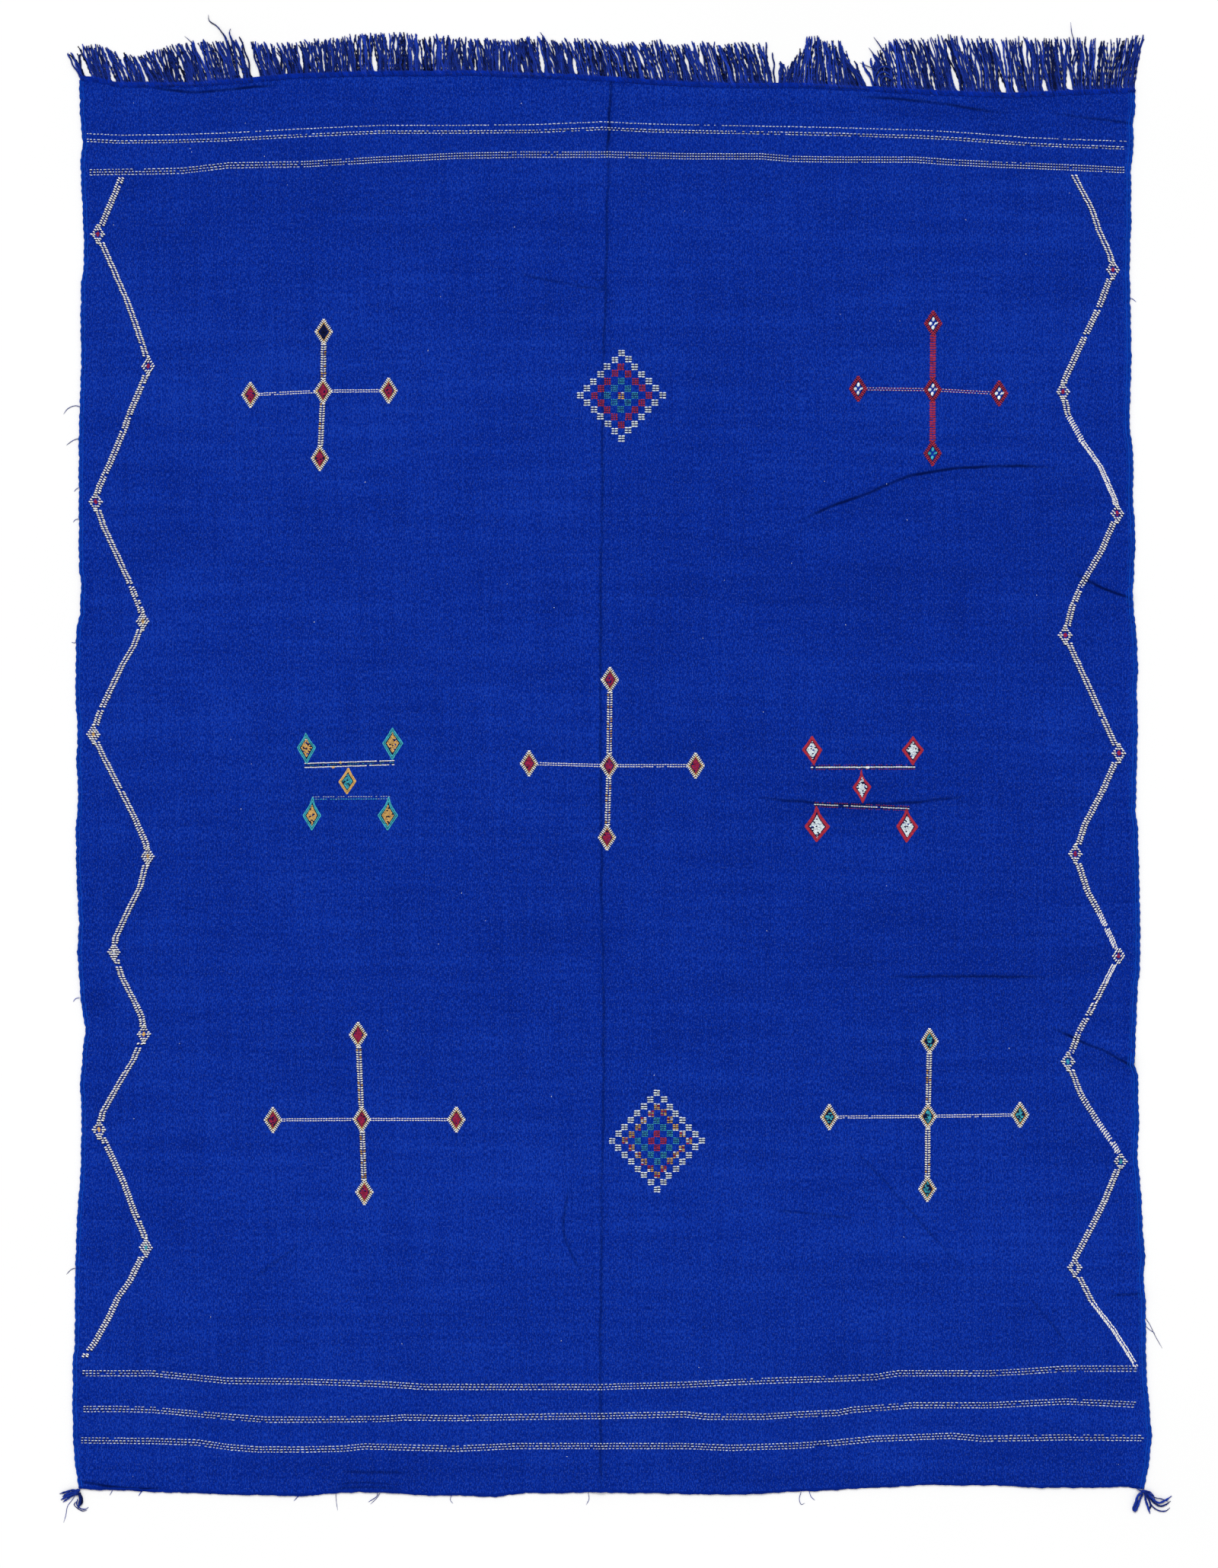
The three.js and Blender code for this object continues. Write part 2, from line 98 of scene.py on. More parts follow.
# How far the right selvedge wanders to the right of its line, as (down, by)
RIGHT_EDGE = [
    (0, -3.4), (48, -2.2), (82, -6.7), (117, -5.1), (158, -10.2), (254, -9.7), (336, -12.5),
    (501, -9.3), (617, -13.2), (679, -5.9), (768, -6.7), (796, -2.9), (844, -2.6), (933, -7.3),
    (1002, 0), (1070, 3), (1091, -0.3), (1159, 2.3), (1317, -1.8), (1345, 1.9), (1420, 4.3),
    (1537, 6.7), (1605, 5.8), (1629, 2.1), (1711, -1.2), (1775, -4), (1792, 2.2), (1887, 4.5),
    (1935, 1), (2010, 8.6), (2079, 11.4), (2117, 15.6), (2162, 12.1), (2195, 16.1), (2326, 17.3),
    (2394, 23.2), (2442, 27.6), (2476, 24.3), (2504, 20.4), (2539, 12.9),
]

# How far the fringe end rises above its line, as (across, by)
FRINGE_END = [
    (-955, 5.5), (-925, 4.1), (-889, -5.5), (-755, -5.5), (-654, 2), (-573, 9.6), (-456, 13.7),
    (-237, 15.1), (-60, 8.2), (81, -1.4), (206, -6.9), (354, -6.9), (466, -13), (589, -19.9),
    (720, -24.7), (830, -19.9), (947.6, -15.1),
]

# How far the turned hem hangs below its line, as (across, by)
HEM_END = [
    (-955.4, -4), (-823, 1.4), (-645, 7.5), (-549, 8.9), (-453, 1.4), (-329, 7.5), (-206, 10.3),
    (-151, 4.1), (0, 2.7), (220, 6.9), (398, -1.4), (576, -11), (713, -9.6), (782, -5.5),
    (933, -6.9), (963.9, -2.7),
]

# Creases left by folding: how far each lifts the cloth, over what half width, and how dark the painted
# shade along its line is; a crease that lifts nothing is only a painted shade line
Crease = namedtuple("Crease", "rise half ink line")
CREASES = [
    Crease(2.6, 22, 0.55, [(3, -20), (-4, 268), (-12, 665), (-15, 1249), (-10, 1777), (-15, 2106),
                           (-15, 2560)]),
    Crease(3.4, 21, 1.0, [(333, 799), (415, 764), (466, 744.5), (511, 727), (545, 713.5), (591, 705),
                          (670, 697), (721, 695.5), (804, 698)]),
    Crease(3.6, 20, 1.0, [(830, 885), (860, 900), (905, 922), (985, 949)]),
    Crease(0.0, 20, 0.6, [(790, 60), (816, 63), (870, 70), (934, 79), (985, 84)]),
    Crease(3.0, 20, 0.75, [(258, 1292), (409, 1305), (541, 1302), (653, 1290)]),
    Crease(2.6, 20, 0.7, [(494, 1616), (794, 1616)]),
    Crease(4.0, 22, 0.0, [(804, 1710), (851, 1738), (965, 1777)]),
    Crease(0.0, 22, 1.0, [(796, 1706), (843, 1730), (894, 1750), (930, 1770), (966, 1794)]),
    Crease(2.2, 20, 0.45, [(295, 2036), (446, 2050)]),
    Crease(1.8, 20, 0.35, [(436, 1917), (653, 2162)]),
    Crease(2.2, 20, 0.4, [(756, 2190), (823, 2275)]),
    Crease(2.4, 20, 0.7, [(899, 2190), (985, 2187)]),
    Crease(2.0, 20, 0.45, [(-71, 1983), (-81, 2077), (-44, 2162)]),
    Crease(1.8, 20, 0.3, [(-646, 2162), (-552, 2096)]),
    Crease(3.0, 20, 0.0, [(-815, 36), (-693, 33), (-598, 30)]),
    Crease(0.0, 20, 1.0, [(-840, 9), (-809, 16), (-755, 24), (-713, 22), (-645, 15), (-590, 8)]),
    Crease(3.0, 20, 0.0, [(475, 42), (597, 50), (709, 60)]),
    Crease(0.0, 20, 0.8, [(435, 30), (455, 31), (521, 36.6), (590, 43.5), (674, 55.7), (735, 64)]),
    Crease(0.0, 20, 1.0, [(4, -70), (1, 60), (-5, 150)]),
    Crease(2.0, 20, 0.4, [(-176, 350), (-89, 366), (14, 383)]),
    Crease(2.6, 24, 0.5, [(-487, 2508), (-357, 2508)]),
    Crease(2.2, 24, 0.0, [(-930, 2508), (-815, 2512)]),
    Crease(0.0, 24, 1.0, [(-962, 2526), (-930, 2529), (-880, 2536), (-800, 2538)]),
    Crease(0.0, 24, 0.5, [(-505, 2539), (-440, 2536), (-370, 2538)]),
]
# How far from a crease line its painted shade reaches, and over what length it fades at the line's ends
SHADE_LINE_REACH = 30
SHADE_LINE_TAPER = 60
FAR = 5000.0

# Soft swells of the lying cloth: wave lengths across and down, height and turn
SWELLS = [(610, 870, 0.35, 0.4), (290, -520, 0.22, 1.9), (-175, 240, 0.14, 0.7)]

# Soft patches where the cloth is lighter or darker, partly the wool's own uneven tone and partly painted
# light and shade of the lying cloth: centre, half width, half height, and by how much
Patch = namedtuple("Patch", "across down wide tall by")
TONE_AND_SHADE_PATCHES = [
    Patch(-500, 560, 430, 150, 0.07), Patch(700, 520, 260, 110, 0.05), Patch(560, 920, 420, 130, -0.09),
    Patch(420, 1270, 420, 90, -0.06), Patch(640, 1560, 380, 170, -0.08), Patch(-620, 240, 320, 70, -0.05),
    Patch(-300, 2020, 480, 170, 0.06), Patch(640, 2030, 300, 160, 0.04), Patch(800, 60, 200, 40, -0.08),
    Patch(-620, 1060, 300, 160, 0.03), Patch(-150, 1560, 260, 160, -0.03), Patch(0, 2440, 900, 50, 0.02),
    Patch(-560, 2500, 330, 22, -0.12), Patch(250, 2515, 300, 18, -0.08), Patch(750, 2470, 220, 50, -0.07),
    Patch(-925, 1660, 30, 25, -0.25), Patch(930, 690, 25, 110, -0.05), Patch(160, 560, 70, 170, -0.05),
]


def table_at(table, where):
    """A table's second column between its rows."""
    rows = np.array(table, float)
    return np.interp(where, rows[:, 0], rows[:, 1])


def left_side(down):
    return LEFT_LINE + table_at(LEFT_EDGE, down)


def right_side(down):
    return RIGHT_LINE + table_at(RIGHT_EDGE, down)


def fringe_end(across):
    """How far down the fringe end lies."""
    return -table_at(FRINGE_END, across)


def hem_end(across):
    """How far down the hem's edge lies."""
    return HEM_DOWN + table_at(HEM_END, across)


def metres(across, down, high):
    """Places on the rug as points of the part, in metres; high is millimetres over the floor."""
    x = CLOTH_LOW[0] + (np.asarray(across, float) - LEAST_ACROSS) * MM
    y = CLOTH_LOW[1] + (MOST_DOWN - np.asarray(down, float)) * MM
    x, y, z = np.broadcast_arrays(x, y, np.asarray(high, float) * MM)
    return np.stack([x, y, z], axis=-1)


def spline(stops, steps):
    """A smooth line through given stops, with so many steps from each to the next."""
    stops = np.array(stops, float)
    padded = np.vstack([2 * stops[0] - stops[1], stops, 2 * stops[-1] - stops[-2]])
    fine = []
    for before, here, after, beyond in zip(padded[:-3], padded[1:-2], padded[2:-1], padded[3:]):
        part = np.linspace(0, 1, steps, endpoint=False)[:, None]
        fine.append(0.5 * (2 * here + (after - before) * part
                           + (2 * before - 5 * here + 4 * after - beyond) * part ** 2
                           + (3 * here - before - 3 * after + beyond) * part ** 3))
    return np.vstack([*fine, stops[-1:]])


def crease_field(across, down):
    """How far the creases lift the cloth, the signed way to the nearest line, and how dark that line's
    painted shade is.
    """
    lift = np.zeros_like(across)
    off = np.full_like(across, FAR)
    ink = np.zeros_like(across)
    for crease in CREASES:
        line = spline(crease.line, 5)
        steps = np.hypot(*np.diff(line, axis=0).T)
        whole = steps.sum()
        away = np.full_like(across, FAR)
        side = np.ones_like(across)
        gone = np.zeros_like(across)
        before = 0.0
        for (ax, ad), (bx, bd), reach in zip(line[:-1], line[1:], steps):
            ux, ud = (bx - ax) / reach, (bd - ad) / reach
            part = np.clip((across - ax) * ux + (down - ad) * ud, 0, reach)
            dx = across - ax - part * ux
            dd = down - ad - part * ud
            near = np.hypot(dx, dd)
            closer = near < away
            side = np.where(closer, np.where(dx * ud - dd * ux >= 0, 1.0, -1.0), side)
            gone = np.where(closer, before + part, gone)
            away = np.minimum(away, near)
            before += reach
        lift = np.maximum(lift, crease.rise * np.clip(1 - (away / crease.half) ** 2, 0, 1) ** 2)
        if not crease.ink:
            continue
        ends = np.clip(np.minimum(gone, whole - gone) / min(SHADE_LINE_TAPER, whole / 5), 0, 1)
        fade = np.clip(1 - away / SHADE_LINE_REACH, 0, 1) ** 0.5
        nearer = away < np.abs(off)
        off = np.where(nearer, away * side, off)
        ink = np.where(nearer, crease.ink * ends * fade, ink)
    return lift, off, ink


def swell(across, down):
    high = np.zeros_like(across)
    for wave_across, wave_down, by, turn in SWELLS:
        high += by * (1 + np.sin(2 * math.pi * (across / wave_across + down / wave_down) + turn))
    return high


def cloth_top(across, down):
    """How high the cloth's upper face lies, in millimetres."""
    across = np.asarray(across, float)
    down = np.asarray(down, float)
    thick = bpy.context.scene.rug_cloth.thick / MM
    return crease_field(across, down)[0] + swell(across, down) + thick


# Sizes and colours that a user would change
class RugCloth(bpy.types.PropertyGroup):
    """Sizes of the ground cloth"""
    thick: FloatProperty(
        name="Thickness", description="How thick the woven cloth is", default=0.0025, unit="LENGTH")
    cells_across: IntProperty(
        name="Cells across", description="Cells of the sheet across the weft", default=160, min=20)
    cells_down: IntProperty(
        name="Cells down", description="Cells of the sheet along the warp", default=216, min=20)
    selvedge: FloatProperty(
        name="Selvedge cord", description="Half width of a selvedge cord", default=0.0023, unit="LENGTH")


class RugFringe(bpy.types.PropertyGroup):
    """Sizes of the fringe"""
    pitch: FloatProperty(
        name="Pitch", description="From one fringe string to the next", default=0.0035, unit="LENGTH")
    thick: FloatProperty(
        name="String", description="Half width of a fringe string", default=0.0017, unit="LENGTH")


class RugInlay(bpy.types.PropertyGroup):
    """Sizes of the inlaid stitches"""
    proud: FloatProperty(
        name="Proud", description="How high a stitch stands over the cloth", default=0.0009, unit="LENGTH")
    dash: FloatProperty(
        name="Dash", description="Length of a stripe's stitch", default=0.0037, unit="LENGTH")
    dash_pitch: FloatProperty(
        name="Dash pitch", description="From one stripe stitch to the next", default=0.0050, unit="LENGTH")


def colour_property(name, what, value):
    return FloatVectorProperty(
        name=name, description=what, default=value, subtype="COLOR", size=3, min=0, max=1)


class RugColours(bpy.types.PropertyGroup):
    """Yarn colours"""
    ground: colour_property("Ground", "Blue of the ground cloth", (0.0008, 0.0172, 0.262))
    # Darkened, the fringe blue is painted shade in the gaps beside stitches, and the dark stitches within
    # and as fills
    fringe: colour_property(
        "Fringe", "Blue of the fringe, and, darkened, of the gaps beside stitches", (0.0075, 0.0250, 0.225))
    cream: colour_property("Cream", "Zigzags, crosses and bars", (0.93, 0.91, 0.86))
    white: colour_property("White", "Stripes, squares and fills", (0.80, 0.89, 1.0))
    ochre: colour_property("Ochre", "Outlines and fills", (0.63, 0.38, 0.12))
    crimson: colour_property("Crimson", "Dark red fills", (0.29, 0.014, 0.055))
    red: colour_property("Red", "Outlines", (0.41, 0.026, 0.052))
    teal: colour_property("Teal", "Fills and outlines", (0.03, 0.24, 0.30))


PROPERTY_GROUPS = {
    "rug_cloth": RugCloth, "rug_fringe": RugFringe, "rug_inlay": RugInlay, "rug_colours": RugColours,
}


# Shader nodes
def add(tree, kind, inputs=None, **settings):
    """A new node, its settings, and its inputs as values or as sockets to link."""
    node = tree.nodes.new(kind)
    for name, value in settings.items():
        setattr(node, name, value)
    for name, value in (inputs or {}).items():
        if isinstance(value, bpy.types.NodeSocket):
            tree.links.new(value, node.inputs[name])
        else:
            node.inputs[name].default_value = value
    return node


def maths(tree, operation, first, second=0.0, clamp=False):
    node = add(tree, "ShaderNodeMath", {0: first, 1: second}, operation=operation, use_clamp=clamp)
    return node.outputs[0]


def blend_colours(tree, part, first, second):
    mixed = add(tree, "ShaderNodeMix", {0: part, 6: first, 7: second}, data_type="RGBA")
    return mixed.outputs[2]


def spread(tree, value, low, high, to_low=0.0, to_high=1.0):
    """Maps low to high onto to_low to to_high, softly and clamped."""
    inputs = {"Value": value, "From Min": low, "From Max": high, "To Min": to_low, "To Max": to_high}
    return add(tree, "ShaderNodeMapRange", inputs, interpolation_type="SMOOTHSTEP").outputs[0]


def object_place(tree):
    return add(tree, "ShaderNodeTexCoord").outputs["Object"]


def patterned(tree, place, across, down, detail=2.0, rough=0.5, distort=0.0):
    """Noise over the floor whose cells are about so many millimetres across and down."""
    scale = (1 / (across * MM), 1 / (down * MM), 1.0)
    scaled = add(tree, "ShaderNodeMapping", {"Vector": place, "Scale": scale})
    inputs = {
        "Vector": scaled.outputs[0], "Scale": 1.0, "Detail": detail, "Roughness": rough,
        "Distortion": distort}
    return add(tree, "ShaderNodeTexNoise", inputs, noise_dimensions="2D").outputs[0]


def new_group(name, inputs, outputs):
    """A shader group with named sockets, its input node and its output node."""
    group = bpy.data.node_groups.new(name, "ShaderNodeTree")
    for label, kind, value in inputs:
        socket = group.interface.new_socket(label, in_out="INPUT", socket_type=kind)
        if value is not None:
            socket.default_value = value
    for label, kind in outputs:
        group.interface.new_socket(label, in_out="OUTPUT", socket_type=kind)
    return group, group.nodes.new("NodeGroupInput").outputs, group.nodes.new("NodeGroupOutput").inputs


def use_group(tree, group, inputs):
    return add(tree, "ShaderNodeGroup", inputs, node_tree=group).outputs


def shared_group(name, build):
    """The named group, built on its first use."""
    return bpy.data.node_groups.get(name) or build(name)


def build_fibre_group(name):
    """Spun wool: fine fibres along one way, thick and thin places, and a few pale hairs."""
    sockets = [("Place", "NodeSocketVector", None), ("Grain", "NodeSocketVector", (400.0, 400.0, 400.0))]
    outputs = [("Tone", "NodeSocketFloat"), ("Height", "NodeSocketFloat"), ("Hair", "NodeSocketFloat")]
    group, given, out = new_group(name, sockets, outputs)
    grained = {0: given["Place"], 1: given["Grain"]}
    scaled = add(group, "ShaderNodeVectorMath", grained, operation="MULTIPLY")
    fibre = add(group, "ShaderNodeTexNoise", {
        "Vector": scaled.outputs[0], "Scale": 1.0, "Detail": 4.0, "Roughness": 0.62, "Distortion": 0.6})
    lumps = add(group, "ShaderNodeTexNoise", {
        "Vector": scaled.outputs[0], "Scale": 0.23, "Detail": 1.0, "Roughness": 0.5, "Distortion": 0.2})
    both = maths(group, "ADD", maths(group, "MULTIPLY", fibre.outputs[0], 0.6),
                 maths(group, "MULTIPLY", lumps.outputs[0], 0.4))
    group.links.new(spread(group, both, 0.3, 0.7), out["Tone"])
    group.links.new(both, out["Height"])
    group.links.new(spread(group, fibre.outputs[0], 0.66, 0.78), out["Hair"])
    return group


def build_crease_shade_group(name):
    """A thin wandering painted shade line along a crease, with a soft painted shadow beside it, from the
    way to the line.
    """
    sockets = [
        ("Place", "NodeSocketVector", None), ("Off", "NodeSocketFloat", 0.0),
        ("Ink", "NodeSocketFloat", 0.0)]
    outputs = [("Line", "NodeSocketFloat"), ("Shade", "NodeSocketFloat")]
    group, given, out = new_group(name, sockets, outputs)
    wander = patterned(group, given["Place"], 70, 70, detail=1.0)
    moved = maths(group, "ADD", given["Off"], spread(group, wander, 0.3, 0.7, -1.0, 1.0))
    away = maths(group, "ABSOLUTE", moved)
    patchy = spread(group, patterned(group, given["Place"], 60, 60), 0.3, 0.55, 0.65, 1.0)
    strength = maths(group, "MULTIPLY", given["Ink"], patchy)
    line = maths(group, "MULTIPLY", spread(group, away, 0.5, 4.2, 1.0, 0.0), strength)
    beside = spread(group, moved, -1.0, 1.0)
    below = maths(group, "MULTIPLY", beside, spread(group, away, 0.0, 13.0, 1.0, 0.0))
    group.links.new(line, out["Line"])
    group.links.new(maths(group, "MULTIPLY", below, strength), out["Shade"])
    return group


def new_material(name):
    material = bpy.data.materials.new(name)
    material.use_nodes = True
    material.node_tree.nodes.clear()
    return material, material.node_tree


WOOL_ROUGH = 0.92


def wool_shader(tree, colour, height, deep, sheen, tint):
    """The shader of a wool surface: next to no gloss, a soft nap and the yarn's own relief."""
    bump = add(tree, "ShaderNodeBump", {"Height": height, "Strength": 1.0, "Distance": deep})
    shader = add(tree, "ShaderNodeBsdfPrincipled", {
        "Base Color": colour, "Roughness": WOOL_ROUGH, "Specular IOR Level": 0.02,
        "Normal": bump.outputs[0], "Sheen Weight": sheen, "Sheen Roughness": 0.6,
        "Sheen Tint": (*tint, 1.0)})
    add(tree, "ShaderNodeOutputMaterial", {"Surface": shader.outputs[0]})


def scaled_colour(colour, by, lift=(0.0, 0.0, 0.0)):
    return (*[min(1.0, max(0.0, part * by + more)) for part, more in zip(colour, lift)], 1.0)


def ground_material(colours):
    """Weft-faced wool: short wavy ribs over the warps, dye bands, streaks, flecks, and painted shade along
    the creases: a dark line with a soft shadow beside it.
    """
    material, tree = new_material("ground_wool")
    place = object_place(tree)
    ribs = patterned(tree, place, 2.3, 6.0, detail=2.5, rough=0.6, distort=0.35)
    wefts = patterned(tree, place, 4.2, 1.3, detail=1.5)
    bands = patterned(tree, place, 330, 24, detail=3.0, rough=0.6)
    streaks = patterned(tree, place, 7, 190)
    clouds = patterned(tree, place, 150, 130, detail=3.0, rough=0.6)
    flecks = patterned(tree, place, 2.0, 3.4, rough=0.6)
    # The cloth's tone: soft patches, partly the wool's own uneven tone and partly painted light and shade
    value = add(tree, "ShaderNodeAttribute", attribute_name="tone").outputs["Fac"]
    for pattern, by in ((ribs, 1.5), (wefts, 0.4), (bands, 0.3), (streaks, 0.25), (clouds, 0.2)):
        part = maths(tree, "MULTIPLY", maths(tree, "SUBTRACT", pattern, 0.5), by)
        value = maths(tree, "ADD", value, part)
    value = maths(tree, "ADD", value, 0.5, clamp=True)
    ramp = add(tree, "ShaderNodeValToRGB", {"Fac": value})
    stops = ramp.color_ramp.elements
    base = colours.ground
    stops[0].position, stops[0].color = 0.2, scaled_colour(base, 0.66)
    stops[1].position, stops[1].color = 0.84, scaled_colour(base, 1.5, (0.005, 0.018, 0.02))
    middle = stops.new(0.5)
    middle.color = scaled_colour(base, 1.0)
    pale = spread(tree, flecks, 0.56, 0.74, 0.0, 0.9)
    fleck = scaled_colour(base, 1.2, (0.026, 0.046, 0.035))
    coloured = blend_colours(tree, pale, ramp.outputs[0], fleck)
    off = add(tree, "ShaderNodeAttribute", attribute_name="crease_off").outputs["Fac"]
    ink = add(tree, "ShaderNodeAttribute", attribute_name="crease_ink").outputs["Fac"]
    group = shared_group("crease_lines", build_crease_shade_group)
    crease = use_group(tree, group, {"Place": place, "Off": off, "Ink": ink})
    # Painted shade of the creases: a soft painted shadow to one side and a dark painted line along each
    shade = maths(tree, "MULTIPLY", crease["Shade"], 0.35)
    shaded = blend_colours(tree, shade, coloured, scaled_colour(base, 0.45))
    line = maths(tree, "MULTIPLY", crease["Line"], 0.95)
    shade_lined = blend_colours(tree, line, shaded, scaled_colour(base, 0.2))
    relief = maths(tree, "ADD", ribs, maths(tree, "MULTIPLY", wefts, 0.7))
    relief = maths(tree, "SUBTRACT", relief, maths(tree, "MULTIPLY", crease["Line"], 0.9))
    wool_shader(tree, shade_lined, relief, 0.0005, 0.02, (0.1, 0.3, 1.0))
    return material


YARN_DEEP = 0.0004
YARN_HAIR = 0.25


def yarn_material(name, colour, dark, light, grain=(900, 900, 900), tint=(1, 1, 1)):
    """A spun yarn: fibres, thick and thin places, and a tone of its own for each stitch or string."""
    material, tree = new_material(name)
    group = shared_group("wool_fibre", build_fibre_group)
    fibre = use_group(tree, group, {"Place": object_place(tree), "Grain": grain})
    tone = add(tree, "ShaderNodeAttribute", attribute_name="tone").outputs["Fac"]
    value = maths(tree, "ADD", maths(tree, "MULTIPLY", fibre["Tone"], 0.55), tone)
    value = maths(tree, "ADD", value, 0.22, clamp=True)
    mixed = blend_colours(tree, value, scaled_colour(colour, dark), scaled_colour(colour, light))
    hairs = maths(tree, "MULTIPLY", fibre["Hair"], YARN_HAIR)
    haired = blend_colours(tree, hairs, mixed, scaled_colour(colour, light, (0.06, 0.06, 0.08)))
    wool_shader(tree, haired, fibre["Height"], YARN_DEEP, 0.05, tint)
    return material


# Each inlay yarn: the record's slot, the colour setting, and how dark and light the yarn runs
YARNS = {
    "cream": ("cream_yarn", "cream", 0.7, 1.12),
    "white": ("white_yarn", "white", 0.5, 1.1),
    "ochre": ("ochre_yarn", "ochre", 0.45, 1.3),
    "crimson": ("crimson_yarn", "crimson", 0.5, 1.5),
    "red": ("red_yarn", "red", 0.55, 1.25),
    "teal": ("teal_yarn", "teal", 0.55, 2.1),
    # The near-black yarn is painted shade in the gaps beside and between stitches, and the dark stitches
    # within and as fills
    "night": ("fringe_yarn", "fringe", 0.04, 0.3),
}


def shared_material(name):
    """The named material, made on its first use from the colour settings."""
    found = bpy.data.materials.get(name)
    if found:
        return found
    colours = bpy.context.scene.rug_colours
    if name == "ground_wool":
        return ground_material(colours)
    if name == "selvedge_wool":
        lighter = scaled_colour(colours.ground, 1.15, (0.001, 0.02, 0.03))[:3]
        return yarn_material(name, lighter, 0.5, 1.35, (500, 160, 500), tint=(0.3, 0.45, 1))
    if name == "hem_wool":
        return yarn_material(name, colours.ground, 0.45, 1.15, (160, 500, 500), tint=(0.3, 0.45, 1))
    if name == "fringe_wool":
        return yarn_material(name, colours.fringe, 0.16, 2.0, (700, 220, 700), tint=(0.4, 0.45, 1))
    if name == "heading_wool":
        return yarn_material(name, colours.ground, 0.55, 1.45, (400, 400, 400), tint=(0.3, 0.45, 1))
    _, colour, dark, light = YARNS[name.removesuffix("_inlay")]
    return yarn_material(name, getattr(colours, colour), dark, light)


# Meshes
def select_nothing():
    bpy.ops.object.select_all(action="DESELECT")
    bpy.context.view_layer.objects.active = None


def use_only(piece):
    select_nothing()
    piece.select_set(True)
    bpy.context.view_layer.objects.active = piece


def read_points(piece):
    points = np.empty(len(piece.data.vertices) * 3)
    piece.data.vertices.foreach_get("co", points)
    return points.reshape(-1, 3)


def write_points(piece, points):
    piece.data.vertices.foreach_set("co", np.ascontiguousarray(points, dtype=np.float32).ravel())
    piece.data.update()


def set_value(piece, name, values):
    """Stores one number for each point of a piece, for its material."""
    attribute = piece.data.attributes.new(name, "FLOAT", "POINT")
    attribute.data.foreach_set("value", np.ascontiguousarray(values, dtype=np.float32).ravel())


def new_piece(name, points, corners, sizes):
    """A mesh from arrays: its points, the point at each face corner, and each face's number of corners."""
    mesh = bpy.data.meshes.new(name)
    mesh.vertices.add(len(points))
    mesh.vertices.foreach_set("co", np.ascontiguousarray(points, dtype=np.float32).ravel())
    mesh.loops.add(len(corners))
    mesh.loops.foreach_set("vertex_index", np.ascontiguousarray(corners, dtype=np.int32))
    mesh.polygons.add(len(sizes))
    mesh.polygons.foreach_set("loop_start", np.concatenate([[0], np.cumsum(sizes)[:-1]]).astype(np.int32))
    mesh.update(calc_edges=True)
    mesh.validate()
    piece = bpy.data.objects.new(name, mesh)
    bpy.context.scene.collection.objects.link(piece)
    return piece


def finish_piece(piece, material, slot, replaces=()):
    """Gives a piece its material and its place on the rug."""
    piece.data.materials.clear()
    piece.data.materials.append(shared_material(material))
    piece.data.shade_smooth()
    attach(piece, BODY)
    if replaces:
        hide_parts(*replaces)


def tubes(name, paths, wide, tall, tones, sides=8, ply_depth=0.0, ply_turn=None):
    """Closed tubes that lie along the floor, one for each path of the same number of points, in one mesh.

    paths is tubes by rings by 3 in metres, wide and tall are half sizes. A two-ply yarn's section has two
    lobes, ply_depth deep, which turn once in ply_turn metres.
    """
    count, rings, _ = paths.shape
    wide = np.broadcast_to(wide, (count, rings))
    tall = np.broadcast_to(tall, (count, rings))
    ahead = np.gradient(paths, axis=1)
    ahead[..., 2] *= 0.3
    ahead /= np.linalg.norm(ahead, axis=-1, keepdims=True)
    side = np.stack([ahead[..., 1], -ahead[..., 0], np.zeros((count, rings))], axis=-1)
    side /= np.linalg.norm(side, axis=-1, keepdims=True)
    up = np.cross(side, ahead)
    along = np.concatenate([np.zeros((count, 1)),
                            np.cumsum(np.linalg.norm(np.diff(paths, axis=1), axis=-1), axis=1)], axis=1)
    base = 2 * math.pi * np.arange(sides) / sides
    turned = np.zeros((count, rings)) if ply_turn is None else 2 * math.pi * along / ply_turn
    angle = base + turned[..., None]
    lobe = 1 - ply_depth * (1 - np.abs(np.cos(base)))
    out = (side[..., None, :] * (wide[..., None] * lobe * np.cos(angle))[..., None]
           + up[..., None, :] * (tall[..., None] * lobe * np.sin(angle))[..., None])
    body = (paths[:, :, None, :] + out).reshape(count, -1, 3)
    caps = paths[:, [0, -1], :]
    points = np.concatenate([body, caps], axis=1)
    each = rings * sides + 2
    ring, step = np.meshgrid(np.arange(rings - 1), np.arange(sides), indexing="ij")
    after = (step + 1) % sides
    walls = np.stack([ring * sides + step, (ring + 1) * sides + step, (ring + 1) * sides + after,
                      ring * sides + after], axis=-1).reshape(-1, 4)
    start = np.arange(sides)
    turn = (start + 1) % sides
    last = (rings - 1) * sides
    near = np.stack([np.full(sides, rings * sides), start, turn], axis=-1)
    far = np.stack([np.full(sides, rings * sides + 1), last + turn, last + start], axis=-1)
    one = np.concatenate([walls.ravel(), near.ravel(), far.ravel()])
    sizes = np.concatenate([np.full(len(walls), 4), np.full(2 * sides, 3)])
    corners = (one[None, :] + each * np.arange(count)[:, None]).ravel()
    piece = new_piece(name, points.reshape(-1, 3), corners, np.tile(sizes, count))
    tone = np.broadcast_to(np.reshape(tones, (count, -1)), (count, rings))
    tone = np.concatenate([np.repeat(tone, sides, axis=1), tone[:, [0, -1]]], axis=1)
    set_value(piece, "tone", tone)
    return piece


def smooth_path(stops, rings):
    """A smooth line through given (across, down, high) stops, as even steps."""
    fine = spline(stops, 12)
    gone = np.concatenate([[0], np.cumsum(np.linalg.norm(np.diff(fine, axis=0), axis=1))])
    even = np.linspace(0, gone[-1], rings)
    line = np.stack([np.interp(even, gone, fine[:, axis]) for axis in range(3)], axis=-1)
    return metres(line[:, 0], line[:, 1], line[:, 2])


